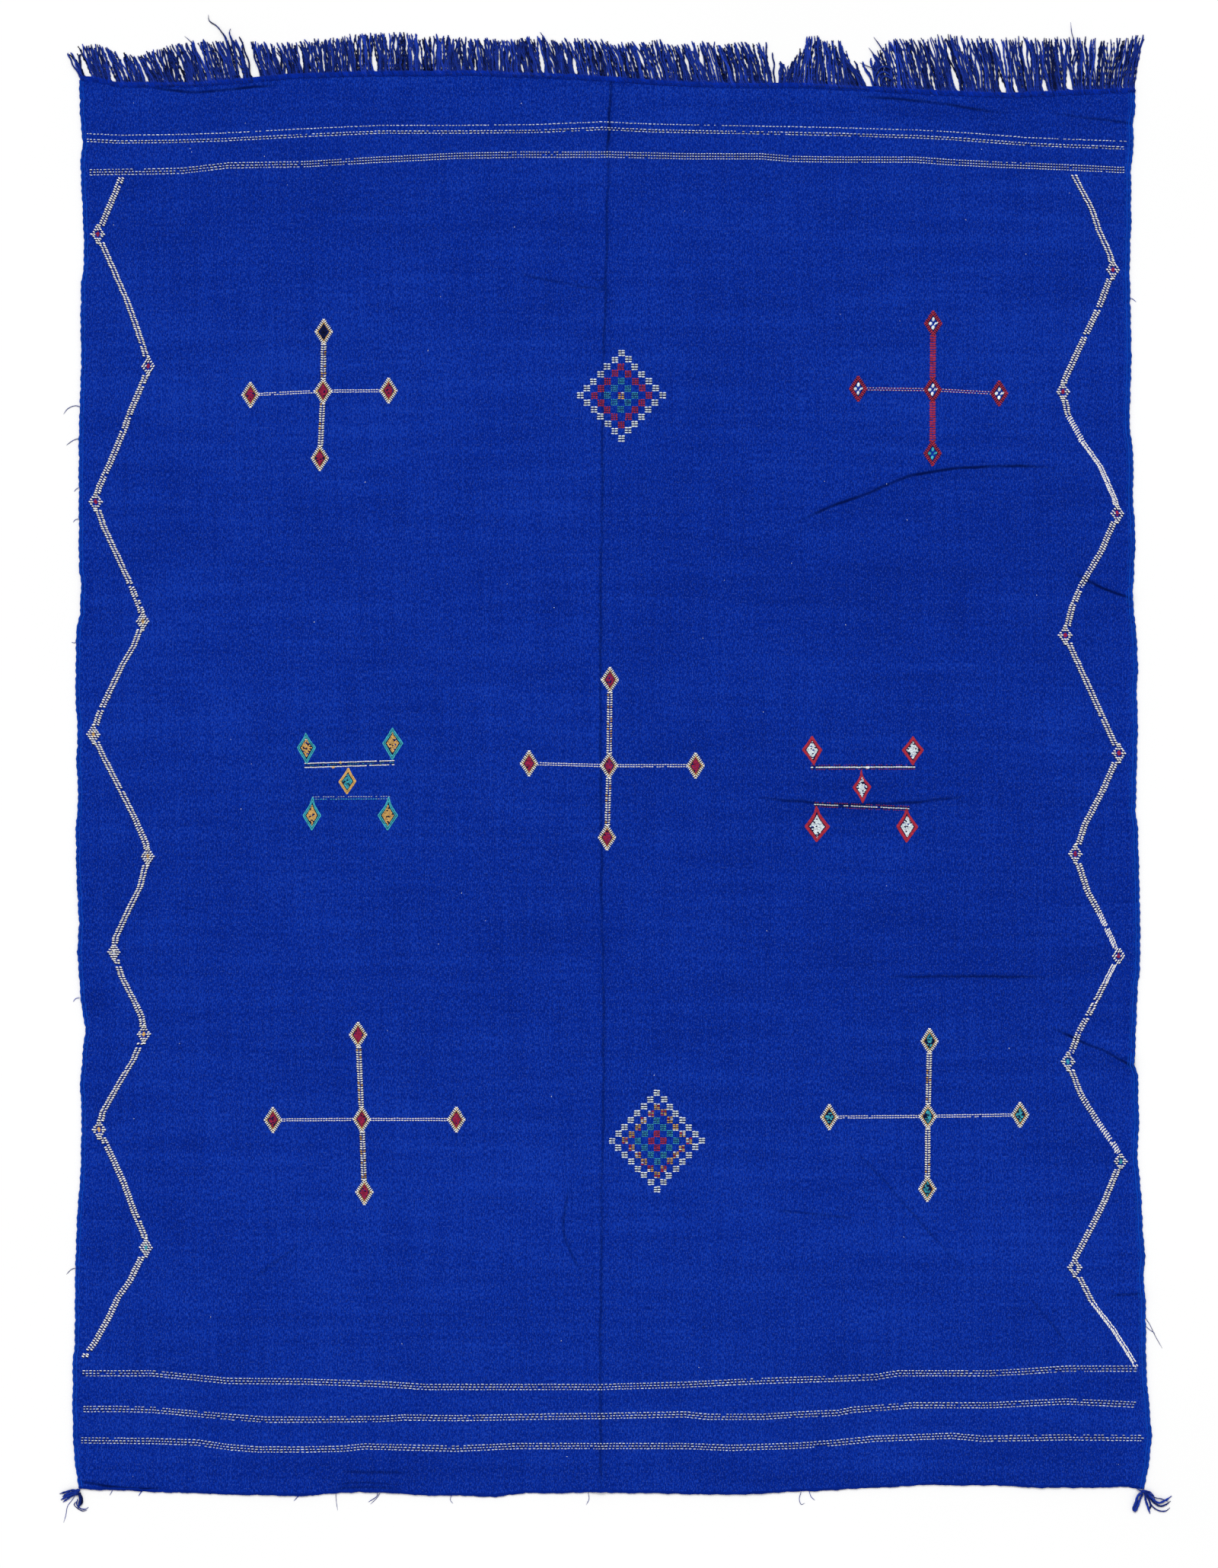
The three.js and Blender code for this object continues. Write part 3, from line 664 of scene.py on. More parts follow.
# Pale wool caught on the cloth, as (across, down) of each tuft
TUFTS = [
    (642.8, 252.4), (751.1, 314.2), (416.7, 422.6), (523.7, 434.6), (388.3, 723.5), (-857.5, 2515),
    (918, 2494), (-157.8, 42.5), (-754.6, 124), (-752, 130), (-588.5, 2340),
]
# How many more are scattered by the seeded dice, how far in from the edges, and their sizes
TUFT = {"more": 46, "in": 30, "down": (40, 2500), "long": (1.2, 3.0), "wide": (0.8, 1.4)}


# Inlaid stitches: each is (across, down, turn, long, wide, tone), in millimetres and degrees
STITCH_SIDES = 6
STITCH_RINGS = 3
# How far stitches stray in place, turn, size and tone
STITCH_STRAY = {"place": 0.28, "turn": 4, "size": 0.07, "tone": 0.16}


def stitch_shape():
    """One laid-in stitch, modelled once: a soft pod a unit long, wide and high."""
    select_nothing()
    bpy.ops.mesh.primitive_uv_sphere_add(segments=STITCH_SIDES, ring_count=STITCH_RINGS, radius=0.5)
    pod = bpy.context.active_object
    bpy.ops.object.mode_set(mode="EDIT")
    bpy.ops.mesh.select_all(action="SELECT")
    bpy.ops.transform.rotate(value=math.pi / 2, orient_axis="Y", center_override=(0, 0, 0))
    bpy.ops.object.mode_set(mode="OBJECT")
    points = read_points(pod)
    points[:, 1:] *= 0.5 / np.abs(points[:, 1:]).max()
    corners = np.array([corner.vertex_index for corner in pod.data.loops])
    sizes = np.array([face.loop_total for face in pod.data.polygons])
    bpy.data.objects.remove(pod, do_unlink=True)
    return points, corners, sizes


def stitched(name, yarn, rows, shape, proud, material=None, slot=None):
    """Joins one stitch for each row into a piece that lies on the cloth."""
    across, down, turn, long, wide, tone = np.array(rows, float).T
    points, corners, sizes = shape
    angle = np.radians(turn)[:, None]
    x = points[:, 0] * long[:, None]
    y = points[:, 1] * wide[:, None]
    spots = metres(across[:, None] + x * np.cos(angle) - y * np.sin(angle),
                   down[:, None] - x * np.sin(angle) - y * np.cos(angle),
                   cloth_top(across, down)[:, None] + points[:, 2] * 2 * proud)
    count = len(rows)
    joined = (corners[None, :] + len(points) * np.arange(count)[:, None]).ravel()
    piece = new_piece(name, spots.reshape(-1, 3), joined, np.tile(sizes, count))
    set_value(piece, "tone", np.repeat(tone, len(points)))
    finish_piece(piece, material or f"{yarn}_inlay", slot or YARNS[yarn][0])


class Chart:
    """Collects stitches by yarn, each a little uneven, from one seeded dice."""

    def __init__(self, seed):
        self.dice = np.random.RandomState(seed)
        self.rows = defaultdict(list)

    def stitch(self, yarn, across, down, turn, long, wide, tone=0.0, uneven=1.0):
        shift = self.dice.normal(0, STITCH_STRAY["place"], 2) * uneven
        turn += self.dice.normal(0, STITCH_STRAY["turn"]) * uneven
        long *= 1 + self.dice.normal(0, STITCH_STRAY["size"]) * uneven
        wide *= 1 + self.dice.normal(0, STITCH_STRAY["size"]) * uneven
        tone += self.dice.normal(0, STITCH_STRAY["tone"])
        self.rows[yarn].append((across + shift[0], down + shift[1], turn, long, wide, tone))

    def weave(self, name, proud):
        """Makes one piece for each yarn of the chart."""
        shape = stitch_shape()
        for yarn, rows in self.rows.items():
            stitched(f"{name}_{yarn}", yarn, rows, shape, proud)


# Stripes across the rug, as (across, down) of their middle row
STRIPE_FIRST = [
    (-941, 97), (-881, 100), (-785, 99), (-691, 96), (-549, 88.5), (-412, 82.3), (-274, 82.3),
    (-137, 81), (-14, 76), (82, 80.3), (274, 83.7), (412, 86.4), (549, 90.6), (617, 94), (686, 99),
    (755, 104.3), (823, 107), (929, 111),
]
STRIPE_SECOND = [
    (-936, 166.7), (-823, 165.3), (-768, 164), (-686, 154.4), (-549, 152.3), (-412, 144), (-274, 137.2),
    (-165, 135), (0, 135), (137, 138), (274, 138), (329, 142.7), (412, 144), (549, 144), (617, 149),
    (686, 152.3), (823, 157.8), (925, 162.6),
]
STRIPE_THIRD = [
    (-949, 2329.7), (-823, 2329.7), (-686, 2343.4), (-549, 2344.7), (-412, 2349), (-329, 2354.4),
    (-15, 2354.4), (137, 2350.2), (274, 2343.4), (412, 2339.3), (480, 2336.5), (521, 2329.7),
    (686, 2329.7), (741, 2327), (823, 2321.4), (947, 2321.4),
]
STRIPE_FOURTH = [
    (-947, 2394), (-878, 2394), (-823, 2395.5), (-686, 2408), (-617, 2413.3), (-549, 2413.3),
    (-412, 2412), (-370, 2409.2), (-274, 2410.6), (-137, 2408), (-15, 2406.5), (137, 2403.7),
    (178, 2408), (274, 2408), (343, 2403.7), (412, 2401), (439, 2395.5), (549, 2387.3), (686, 2387.3),
    (823, 2380.4), (947, 2386),
]
STRIPE_FIFTH = [
    (-951, 2450.4), (-823, 2451.8), (-741, 2454.5), (-686, 2462.7), (-631, 2467), (-549, 2467),
    (-480, 2465.5), (-439, 2461.4), (-274, 2465.5), (-165, 2460.7), (137, 2460.7), (220, 2464),
    (343, 2460), (412, 2454.5), (480, 2447.6), (549, 2445), (617, 2442.2), (672, 2447.6), (823, 2445),
    (960, 2446.3),
]
ROW_GAP = 4.7
THREE_ROWS = (-ROW_GAP, 0.0, ROW_GAP)
# Each stripe: its line, the offsets of its rows, and from where on its rows' dashes stand in a ladder
NO_LADDER = 2000
STRIPES_TOP = [(STRIPE_FIRST, (0.0, 10.0, 14.2), NO_LADDER), (STRIPE_SECOND, THREE_ROWS, -560)]
STRIPES_BOTTOM = [(line, THREE_ROWS, NO_LADDER) for line in (STRIPE_THIRD, STRIPE_FOURTH, STRIPE_FIFTH)]
# Dashes: lengths, gaps, width, how far each reaches into its gap, the run of dashes that share a
# brightness, the share of faint runs and of their dashes left out, the tone of faint dashes, the share
# and width of the dark stitches of painted shade between rows, and how far a dash strays in turn
DASHES = {
    "long": (2.6, 6.6), "gap": (1.1, 2.7), "wide": 1.5, "stretch": 1.08, "run": (3, 13), "faint": 0.22,
    "skip": 0.12, "faint_tone": -0.4, "dark": 0.9, "shade_row_wide": 1.8, "turn": 4,
}


def chart_stripe(chart, line, offsets, ladder_from, inlay):
    """Rows of short dashes, with faint stretches where the yarn dips under."""
    start, end = line[0][0], line[-1][0]
    pitch = inlay.dash_pitch / MM
    for offset in offsets:
        doubled = any(0 < other - offset < ROW_GAP + 0.1 for other in offsets)
        across = start
        left = 0
        while across < end:
            if left == 0:
                left = chart.dice.randint(*DASHES["run"])
                faint = chart.dice.rand() < DASHES["faint"]
            left -= 1
            long, gap = chart.dice.uniform(*DASHES["long"]), chart.dice.uniform(*DASHES["gap"])
            if across > ladder_from:
                across = math.ceil(across / pitch + 0.01) * pitch
                long, gap = inlay.dash / MM, 0.0
            middle = across + long / 2
            across += long + gap
            if faint and chart.dice.rand() < DASHES["skip"]:
                continue
            down = table_at(line, middle) + offset
            # A dark stitch of painted shade between two close rows
            if doubled and chart.dice.rand() < DASHES["dark"]:
                chart.stitch("night", middle, down + ROW_GAP / 2, 0, long, DASHES["shade_row_wide"], 0.0, 0.6)
            tone = DASHES["faint_tone"] if faint else 0.0
            turn = chart.dice.normal(0, DASHES["turn"])
            chart.stitch("white", middle, down, turn, long * DASHES["stretch"], DASHES["wide"], tone, 0.5)


# The zigzags: each stop is (across, down, slant), and the slant of the stitches holds to the next stop
ZIGZAG_LEFT = [
    (-877, 173, -28), (-921, 278, -28), (-871, 391, -28), (-856, 432, -24), (-837, 487, -20),
    (-830, 516, -10), (-837, 539, -8), (-862, 597, -14), (-874, 631, -20), (-894, 679, -25),
    (-919, 734, -25), (-925, 760, -18), (-911, 803, -18), (-892, 844, -20), (-864, 905, 20),
    (-844, 953, 22), (-840, 975, 22), (-856, 1019, 22), (-878, 1056, 15), (-900, 1102, -15),
    (-919, 1143, -18), (-929, 1179, -18), (-912, 1217, -18), (-885, 1269, -18), (-857, 1324, 18),
    (-834, 1376, 20), (-831, 1399, 20), (-845, 1454, 20), (-871, 1506, 10), (-889, 1546, -5),
    (-892, 1571, -10), (-878, 1615, -12), (-853, 1664, 15), (-842, 1688, 20), (-838, 1719, 20),
    (-856, 1763, 20), (-885, 1811, 10), (-912, 1859, -15), (-919, 1891, 10), (-899, 1932, 20),
    (-874, 1987, 20), (-856, 2037, 0), (-837, 2081, -20), (-834, 2103, -20), (-862, 2161, -20),
    (-884, 2192, -25), (-903, 2232, -25), (-927, 2275, -25), (-944, 2298, -25),
]
ZIGZAG_RIGHT = [
    (836, 169, -30), (870, 233, -30), (884, 274, -30), (903, 316, -30), (908, 342, -30),
    (885, 405, -28), (853, 471, -20), (820, 542, -15), (818, 562, -15), (827, 604, 40), (853, 652, -40),
    (885, 696, -40), (911, 755, -40), (916, 781, -30), (888, 847, -25), (851, 910, -15),
    (834, 951, -13), (822, 1000, -13), (919, 1213, -20), (888, 1283, -20), (858, 1340, -15),
    (840, 1394, 20), (862, 1461, 20), (882, 1498, 70), (905, 1546, 80), (918, 1578, 60),
    (894, 1626, 20), (867, 1678, -20), (846, 1715, -20), (827, 1768, -20), (851, 1829, 35),
    (878, 1873, 45), (914, 1925, 60), (922, 1948, -10), (892, 2021, -20), (857, 2090, -20),
    (837, 2127, -20), (839, 2139, -20), (871, 2202, -60), (908, 2250, -60), (948, 2313, -60),
]
# Diamonds on the zigzags: centre, size, slant of their rows, yarn of the middle and its size
Knot = namedtuple("Knot", "across down wide tall slant yarn middle")
KNOTS_LEFT = [
    Knot(-921, 278, 26, 33, -28, "crimson", 9), Knot(-830, 516, 25, 34, 40, "crimson", 9),
    Knot(-925, 760, 26, 33, -18, "crimson", 9), Knot(-840, 975, 25, 33, 22, "ochre", 8),
    Knot(-929, 1179, 26, 33, -18, "ochre", 8), Knot(-831, 1399, 25, 33, 20, "ochre", 7),
    Knot(-892, 1571, 24, 31, -5, "cream", 6), Knot(-838, 1719, 26, 33, 20, "ochre", 9),
    Knot(-919, 1891, 26, 33, 0, "ochre", 9), Knot(-834, 2103, 25, 33, -20, "teal", 8),
]
KNOTS_RIGHT = [
    Knot(908, 342, 25, 34, -30, "crimson", 9), Knot(818, 562, 25, 34, -15, "crimson", 9),
    Knot(916, 781, 25, 34, -35, "crimson", 9), Knot(822, 1000, 26, 34, -13, "crimson", 10),
    Knot(919, 1213, 26, 34, -20, "crimson", 10), Knot(840, 1394, 26, 34, -15, "crimson", 10),
    Knot(918, 1578, 25, 32, 50, "crimson", 9), Knot(827, 1768, 26, 34, -20, "teal", 9),
    Knot(922, 1948, 25, 32, -10, "teal", 9), Knot(839, 2139, 28, 34, -20, "", 9),
]
ZIGZAG_ROW = 4.05
# Share of rows and of single stitches that are left out
ZIGZAG_BREAK = 0.008
ZIGZAG_SKIP = 0.012
# How far from the path's middle a stitch lies, its length, width and tone, and the same for the dark
# stitches of painted shade between rows with how uneven they are
ZIGZAG_HALF = 3.3
ZIGZAG_STITCH = (5.8, 2.7, 0.12)
ZIGZAG_SHADE = (6.6, 1.7, 0.0, 0.5)
# The same where the slant passes so many degrees, with a third stitch a share of a row lower on the middle
STEEP_SLANT = 35
STEEP_HALF = 3.5
STEEP_STITCH = (5.6, 2.3, 0.12)
STEEP_DROP = 0.4
STEEP_MIDDLE = (5.4, 2.2, 0.1)
# The small diamonds: stitch pitch, length, width and tone, and the pitch and width of the middle's rows
KNOT_PITCH = 4.6
KNOT_STITCH = (5.4, 2.6, 0.1)
# Length and width of the dark stitches of painted shade between a diamond's rows
KNOT_SHADE = (5.4, 1.6)
KNOT_FILL_ROW = 2.9


def chart_zigzag(chart, stops, knots):
    """Two stitches a row down the path, which leaves its diamonds free and breaks here and there."""
    table = np.array(stops, float)
    down = table[0, 1]
    while down < table[-1, 1]:
        down += ZIGZAG_ROW
        across = np.interp(down, table[:, 1], table[:, 0])
        stop = min(np.searchsorted(table[:, 1], down, side="right") - 1, len(table) - 1)
        slant = table[stop, 2]
        if any(abs(down - knot.down) < knot.tall / 2 - 2 for knot in knots):
            continue
        if chart.dice.rand() < ZIGZAG_BREAK:
            continue
        for side in (-1, 1):
            if chart.dice.rand() < ZIGZAG_SKIP:
                continue
            if abs(slant) > STEEP_SLANT:
                chart.stitch("cream", across + side * STEEP_HALF, down, slant, *STEEP_STITCH)
                if side > 0:
                    chart.stitch("cream", across, down + ZIGZAG_ROW * STEEP_DROP, slant, *STEEP_MIDDLE)
                continue
            out = across + side * ZIGZAG_HALF
            chart.stitch("cream", out, down, slant, *ZIGZAG_STITCH)
            # A dark stitch of painted shade between this row and the next
            chart.stitch("night", out, down + ZIGZAG_ROW / 2, slant, *ZIGZAG_SHADE)


def chart_knot(chart, knot):
    """A small diamond of stacked rows with a coloured middle."""
    rows = int(knot.tall / 2 / ZIGZAG_ROW)
    for row in range(-rows, rows + 1):
        drop = row * ZIGZAG_ROW
        reach = knot.wide / 2 * (1 - abs(drop) / (knot.tall / 2 + 2))
        count = max(2, int(round(2 * reach / KNOT_PITCH)))
        for step in range(count):
            across = (step - (count - 1) / 2) * 2 * reach / count
            if math.hypot(across / knot.middle, drop / (knot.middle * 1.1)) < 0.5:
                continue
            across += knot.across
            down = knot.down + drop
            chart.stitch("cream", across, down, knot.slant, *KNOT_STITCH)
            # A dark stitch of painted shade below each stitch, between rows
            chart.stitch("night", across, down + ZIGZAG_ROW / 2, knot.slant, *KNOT_SHADE)
    if not knot.yarn:
        return
    for row in (-1, 0, 1):
        long = knot.middle * (0.95 if row == 0 else 0.6)
        down = knot.down + row * KNOT_FILL_ROW
        chart.stitch(knot.yarn, knot.across, down, knot.slant * 0.4, long, KNOT_FILL_ROW, 0.1)


# The crosses: centre and tips with their diamonds, and their yarns, the fills in the order of the diamonds
Cross = namedtuple("Cross", "middle top left right bottom outline bar fills")
CROSSES = [
    Cross((-515, 561), (-514, 454), (-646, 567.5), (-397, 560), (-521, 681.6), "ochre", "cream",
          ("crimson", "night", "crimson", "crimson", "crimson")),
    Cross((583, 558.4), (584, 439), (449, 556.6), (703, 565), (583, 673), "red", "red",
          ("white", "white", "white", "white", "teal")),
    Cross((0, 1235.5), (1.6, 1080.7), (-144, 1231.5), (156, 1235.5), (-3.6, 1364.7), "ochre", "cream",
          5 * ("crimson",)),
    Cross((-445.4, 1872.4), (-452, 1720), (-605.5, 1873.6), (-275, 1872.8), (-440.7, 2003.5), "ochre",
          "cream", 5 * ("crimson",)),
    Cross((574.6, 1867), (577.6, 1731.5), (397, 1868.4), (740.6, 1864.3), (573.5, 1997.6), "ochre", "cream",
          5 * ("teal",)),
]
CROSS_DIAMOND = (32.5, 50)
# A fill's share of its diamond's width and height
CROSS_FILL = (0.46, 0.58)
# Share of a fill's stitches that are dark
DARK_IN_TEAL = 0.4
DARK_IN_FILL = 0.08
# Rays round a diamond: length, width, steps on a side, slant, and the shares of the diamond's size at
# which the rays, the laid line inside them and the dark line of painted shade inside that stand. A pale
# ray's coloured foot lies at base, shares of the ray's length inwards. Dark stitches between rays are
# painted shade
RAY = {
    "long": 6.8, "wide": 2.4, "steps": 7, "slant": 38, "out": 0.85, "line_out": 0.67, "line_wide": 1.5,
    "gap_out": 0.58, "base": (0.24, 0.18), "base_stitch": (3.4, 2.1, 0.3), "shade_wide": 1.8,
}
# Petals in a red cross's diamonds: turn, how far right and down of the diamond's middle, length and width
PETALS = (
    (74, 0.4, -7.2, 9.0, 5.4), (35, -5.2, 0.2, 7.4, 5.8), (74, -0.4, 7.6, 8.4, 5.0),
    (55, 4.0, 0.4, 7.4, 2.7), (55, 7.4, -0.6, 6.2, 2.4),
)
# A ladder arm: row pitch, half width, lean of its stitches, their length and width on a red cross and
# on the others, the share in the outline's yarn on the others, and the place and size of the dark
# stitches of painted shade between rows
ARM_ROW = 4.2
ARM = {
    "half": 2.7, "lean": 12, "red": (6.8, 3.3), "pale": (5.4, 2.5), "outline": 0.14, "shade_half": 2.9,
    "night": (6.0, 1.6),
}
# A level arm: stitch pitch, half gap of its two rows, width, tones and the share left out
BAR_STEP = 4.6
RED_BAR_STEP = 2.7
LEVEL = {"half": 1.9, "wide": 1.5, "tone": -0.1, "fleck_tone": -0.55, "skip": 0.02}
# A fill: row and stitch pitch, stray turn, length and width
FILL_ROW = 2.2
FILL_PITCH = 3.3
FILL_TURN = 12
FILL_STITCH = (4.3, 2.9)


def chart_rays(chart, middle, size, yarn, line_yarn):
    """A diamond's four sides as short rays that point outwards, with a laid line inside them."""
    half_wide, half_tall = size[0] / 2, size[1] / 2
    along = math.degrees(math.atan2(half_tall, half_wide))
    for side_x in (-1, 1):
        for side_y in (-1, 1):
            for step in range(RAY["steps"] + 1):
                part = step / RAY["steps"]
                across = middle[0] + side_x * half_wide * part * RAY["out"]
                down = middle[1] + side_y * half_tall * (1 - part) * RAY["out"]
                turn = -side_x * side_y * RAY["slant"]
                chart.stitch(yarn, across, down, turn, RAY["long"], RAY["wide"], 0.05, 0.6)
                if yarn == "cream":
                    foot_across = across - side_x * RAY["long"] * RAY["base"][0]
                    foot_down = down - side_y * RAY["long"] * RAY["base"][1]
                    chart.stitch(line_yarn, foot_across, foot_down, turn, *RAY["base_stitch"])
                if step == RAY["steps"]:
                    continue
                # A dark stitch of painted shade between this ray and the next
                across += side_x * half_wide * 0.5 / RAY["steps"]
                down -= side_y * half_tall * 0.5 / RAY["steps"]
                chart.stitch("night", across, down, turn, RAY["long"], RAY["shade_wide"], 0.0, 0.5)
            for step in range(RAY["steps"] - 1):
                part = (step + 0.5) / (RAY["steps"] - 1)
                across = middle[0] + side_x * half_wide * part * RAY["line_out"]
                down = middle[1] + side_y * half_tall * (1 - part) * RAY["line_out"]
                turn = side_x * side_y * along
                chart.stitch(line_yarn, across, down, turn, 4.4, RAY["line_wide"], -0.05, 0.5)
                # A dark line of painted shade inside the laid line
                across = middle[0] + side_x * half_wide * part * RAY["gap_out"]
                down = middle[1] + side_y * half_tall * (1 - part) * RAY["gap_out"]
                chart.stitch("night", across, down, turn, 4.0, 1.5, 0.0, 0.5)


def chart_petals(chart, middle, yarn):
    """Four petals round a dark middle, the right one as two slanting strokes."""
    for turn, out_x, out_y, long, wide in PETALS:
        chart.stitch(yarn, middle[0] + out_x, middle[1] + out_y, turn, long, wide, 0.15, 0.8)


def chart_fill(chart, middle, size, yarn, tone, gaps, dark):
    """A diamond filled with close rows of short stitches, some left out and some of them dark."""
    rows = int(size[1] / 2 / FILL_ROW)
    for row in range(-rows, rows + 1):
        drop = row * FILL_ROW
        reach = size[0] / 2 * (1 - abs(drop) / (size[1] / 2 + 1))
        count = max(1, int(round(2 * reach / FILL_PITCH)))
        for step in range(count):
            if chart.dice.rand() < gaps:
                continue
            across = (step - (count - 1) / 2) * 2 * reach / count
            laid = "night" if chart.dice.rand() < dark else yarn
            turn = chart.dice.normal(0, FILL_TURN)
            chart.stitch(laid, middle[0] + across, middle[1] + drop, turn, *FILL_STITCH, tone, 0.9)


def chart_upright_arm(chart, cross, tip):
    """A ladder of two stitches a row between the diamonds."""
    way = 1 if tip[1] > cross.middle[1] else -1
    clear = CROSS_DIAMOND[1] / 2 - 2
    reach = abs(tip[1] - cross.middle[1]) - 2 * clear
    rows = int(reach / ARM_ROW)
    red = cross.outline == "red"
    for row in range(rows + 1):
        down = cross.middle[1] + way * (clear + reach * row / rows)
        part = (down - cross.middle[1]) / (tip[1] - cross.middle[1])
        across = cross.middle[0] + (tip[0] - cross.middle[0]) * part
        for side in (-1, 1):
            yarn = cross.outline if red or chart.dice.rand() < ARM["outline"] else "cream"
            turn = side * ARM["lean"]
            size = ARM["red" if red else "pale"]
            chart.stitch(yarn, across + side * ARM["half"], down, turn, *size, 0.0, 0.7)
            # Dark stitches of painted shade between the rows of a pale arm
            if not red:
                out = across + side * ARM["shade_half"]
                chart.stitch("night", out, down + ARM_ROW / 2, turn, *ARM["night"], 0.0, 0.5)


def chart_level_arm(chart, cross, tip):
    """Two thin rows of dashes between the diamonds, a red cross's with pale flecks."""
    way = 1 if tip[0] > cross.middle[0] else -1
    clear = CROSS_DIAMOND[0] / 2
    reach = abs(tip[0] - cross.middle[0]) - 2 * clear
    red = cross.outline == "red"
    pitch = RED_BAR_STEP if red else BAR_STEP
    steps = int(reach / pitch)
    for step in range(steps + 1):
        across = cross.middle[0] + way * (clear + reach * step / steps)
        part = (across - cross.middle[0]) / (tip[0] - cross.middle[0])
        down = cross.middle[1] + (tip[1] - cross.middle[1]) * part
        for side in (-1, 1):
            if chart.dice.rand() < LEVEL["skip"]:
                continue
            pale = red and (step + (side > 0)) % 2
            yarn = "cream" if pale else cross.bar
            tone = LEVEL["fleck_tone"] if pale else LEVEL["tone"]
            chart.stitch(yarn, across, down + side * LEVEL["half"], 0, pitch, LEVEL["wide"], tone, 0.6)


def chart_cross(chart, cross):
    """A cross of two thin arms and two ladder arms, with a rayed diamond at its middle and each tip."""
    wide, tall = CROSS_DIAMOND
    red = cross.outline == "red"
    tips = (cross.middle, cross.top, cross.left, cross.right, cross.bottom)
    for tip, fill in zip(tips, cross.fills):
        chart_rays(chart, tip, CROSS_DIAMOND, "red" if red else "cream", cross.outline)
        if red:
            chart_petals(chart, tip, fill)
        else:
            dark = DARK_IN_TEAL if fill == "teal" else DARK_IN_FILL
            chart_fill(chart, tip, (wide * CROSS_FILL[0], tall * CROSS_FILL[1]), fill, 0.0, 0.0, dark)
    for tip in (cross.top, cross.bottom):
        chart_upright_arm(chart, cross, tip)
    for tip in (cross.left, cross.right):
        chart_level_arm(chart, cross, tip)


# The branched figures: each diamond's corners, how far its head and foot are drawn into necks, and yarns
Point = namedtuple("Point", "head right foot left necks outline fill")
LEFT_FIGURE = [
    Point((-546.3, 1176.1), (-528.2, 1202.8), (-544.7, 1232.5), (-562.1, 1203.2),
          (0.22, 0.0), "teal", "ochre"),
    Point((-390.3, 1166.6), (-371.1, 1194.7), (-390.6, 1225.6), (-408.2, 1195.4),
          (0.05, 0.0), "teal", "ochre"),
    Point((-469.5, 1238.9), (-455.5, 1263.3), (-472.2, 1287.3), (-487.1, 1264.6),
          (0.12, 0.0), "ochre", "teal"),
    Point((-534.0, 1290.8), (-519.0, 1325.1), (-535.5, 1352.5), (-551.8, 1325.1),
          (0.36, 0.0), "teal", "ochre"),
    Point((-396.8, 1290.8), (-380.3, 1325.1), (-399.0, 1352.5), (-416.7, 1325.1),
          (0.36, 0.0), "teal", "ochre"),
]
RIGHT_FIGURE = [
    Point((365.9, 1181.7), (383.7, 1207.4), (369.3, 1234.8), (348.1, 1206.9),
          (0.12, 0.1), "red", "white"),
    Point((547.7, 1182.3), (567.0, 1207.4), (547.0, 1234.8), (527.8, 1207.4),
          (0.12, 0.1), "red", "white"),
    Point((454.4, 1242.8), (472.2, 1273.6), (457.3, 1303.4), (439.0, 1274.9),
          (0.62, 0.2), "red", "white"),
    Point((373.9, 1306.8), (397.5, 1345.7), (373.9, 1373.1), (352.6, 1344.6),
          (0.34, 0.0), "red", "white"),
    Point((535.8, 1310.3), (556.8, 1345.7), (535.8, 1374.3), (517.9, 1344.6),
          (0.34, 0.0), "red", "white"),
]
# Bars: start, end, and each row as (offset, yarn, stitch length, width, tone, skipped share); dark rows
# between the others are painted shade
BARS = [
    ((-546.1, 1235.1), (-389.0, 1230.0), (
        (-3.7, "cream", 6.0, 1.9, -0.1, 0.04), (0, "teal", 3.2, 1.3, -0.2, 0.35),
        (-1.8, "night", 5.4, 1.2, 0.0, 0.1), (1.8, "night", 5.4, 1.2, 0.0, 0.1),
        (3.7, "cream", 6.0, 1.9, -0.1, 0.04))),
    ((-532.3, 1293.8), (-396.5, 1293.0), (
        (-2.1, "white", 3.6, 1.3, -0.35, 0.1), (2.1, "teal", 3.8, 1.4, 0.2, 0.08),
        (2.1, "white", 3.0, 1.0, -0.5, 0.5))),
    ((365.6, 1238.5), (549.5, 1237.8), (
        (-4.0, "red", 3.2, 1.0, -0.2, 0.25), (-2.2, "night", 5.4, 1.4, 0.0, 0.05),
        (2.2, "night", 5.4, 1.4, 0.0, 0.05), (0, "white", 5.6, 2.5, 0.1, 0.07),
        (4.0, "red", 3.2, 1.0, -0.2, 0.25))),
    ((371.5, 1305.2), (539.2, 1312.7), (
        (-4.0, "red", 3.2, 1.1, -0.1, 0.2), (-2.2, "night", 5.4, 1.4, 0.0, 0.05),
        (2.2, "night", 5.4, 1.4, 0.0, 0.05), (0, "white", 5.0, 2.0, -0.05, 0.12),
        (4.0, "red", 3.2, 1.1, -0.1, 0.2))),
]
BAR_PITCH = 4.4
# Knots of yarn on the bars: place, yarn, turn, length and width
BAR_KNOTS = [
    (-484.0, 1230.3, "ochre", -50, 6.0, 4.4), (-496.9, 1238.1, "ochre", 10, 6.4, 4.0),
    (465.8, 1238.9, "white", 5, 8.6, 4.6), (-545.6, 1188.2, "cream", 0, 6.2, 2.2),
]
# Laid lines of an outline: share of the diamond's size, width and tone
OUTLINES = {
    "teal": ((0.97, 1.9, 0.3), (0.87, 2.2, -0.35), (0.77, 1.7, 0.3)),
    "red": ((0.96, 2.8, 0.0), (0.86, 3.0, 0.1), (0.76, 2.2, 0.0)),
    "ochre": ((0.96, 2.4, 0.2), (0.85, 2.4, -0.15), (0.75, 1.9, 0.25)),
}
# The dark line of painted shade between outline and fill: share of the size and width
SHADE_GAP_LINE = (0.66, 2.0)
# The fill's share of the size, its tone, and the shares of its stitches left out and dark
FILL_SHARE = 0.6
FILL_MIX = (0.05, 0.04, 0.13)
# Pitch of a laid line's stitches and how far each covers the next
LINE_PITCH = 3.4
LINE_COVER = 1.5
# How far up towards its end a neck's knee is drawn
NECK_PULL = 0.6


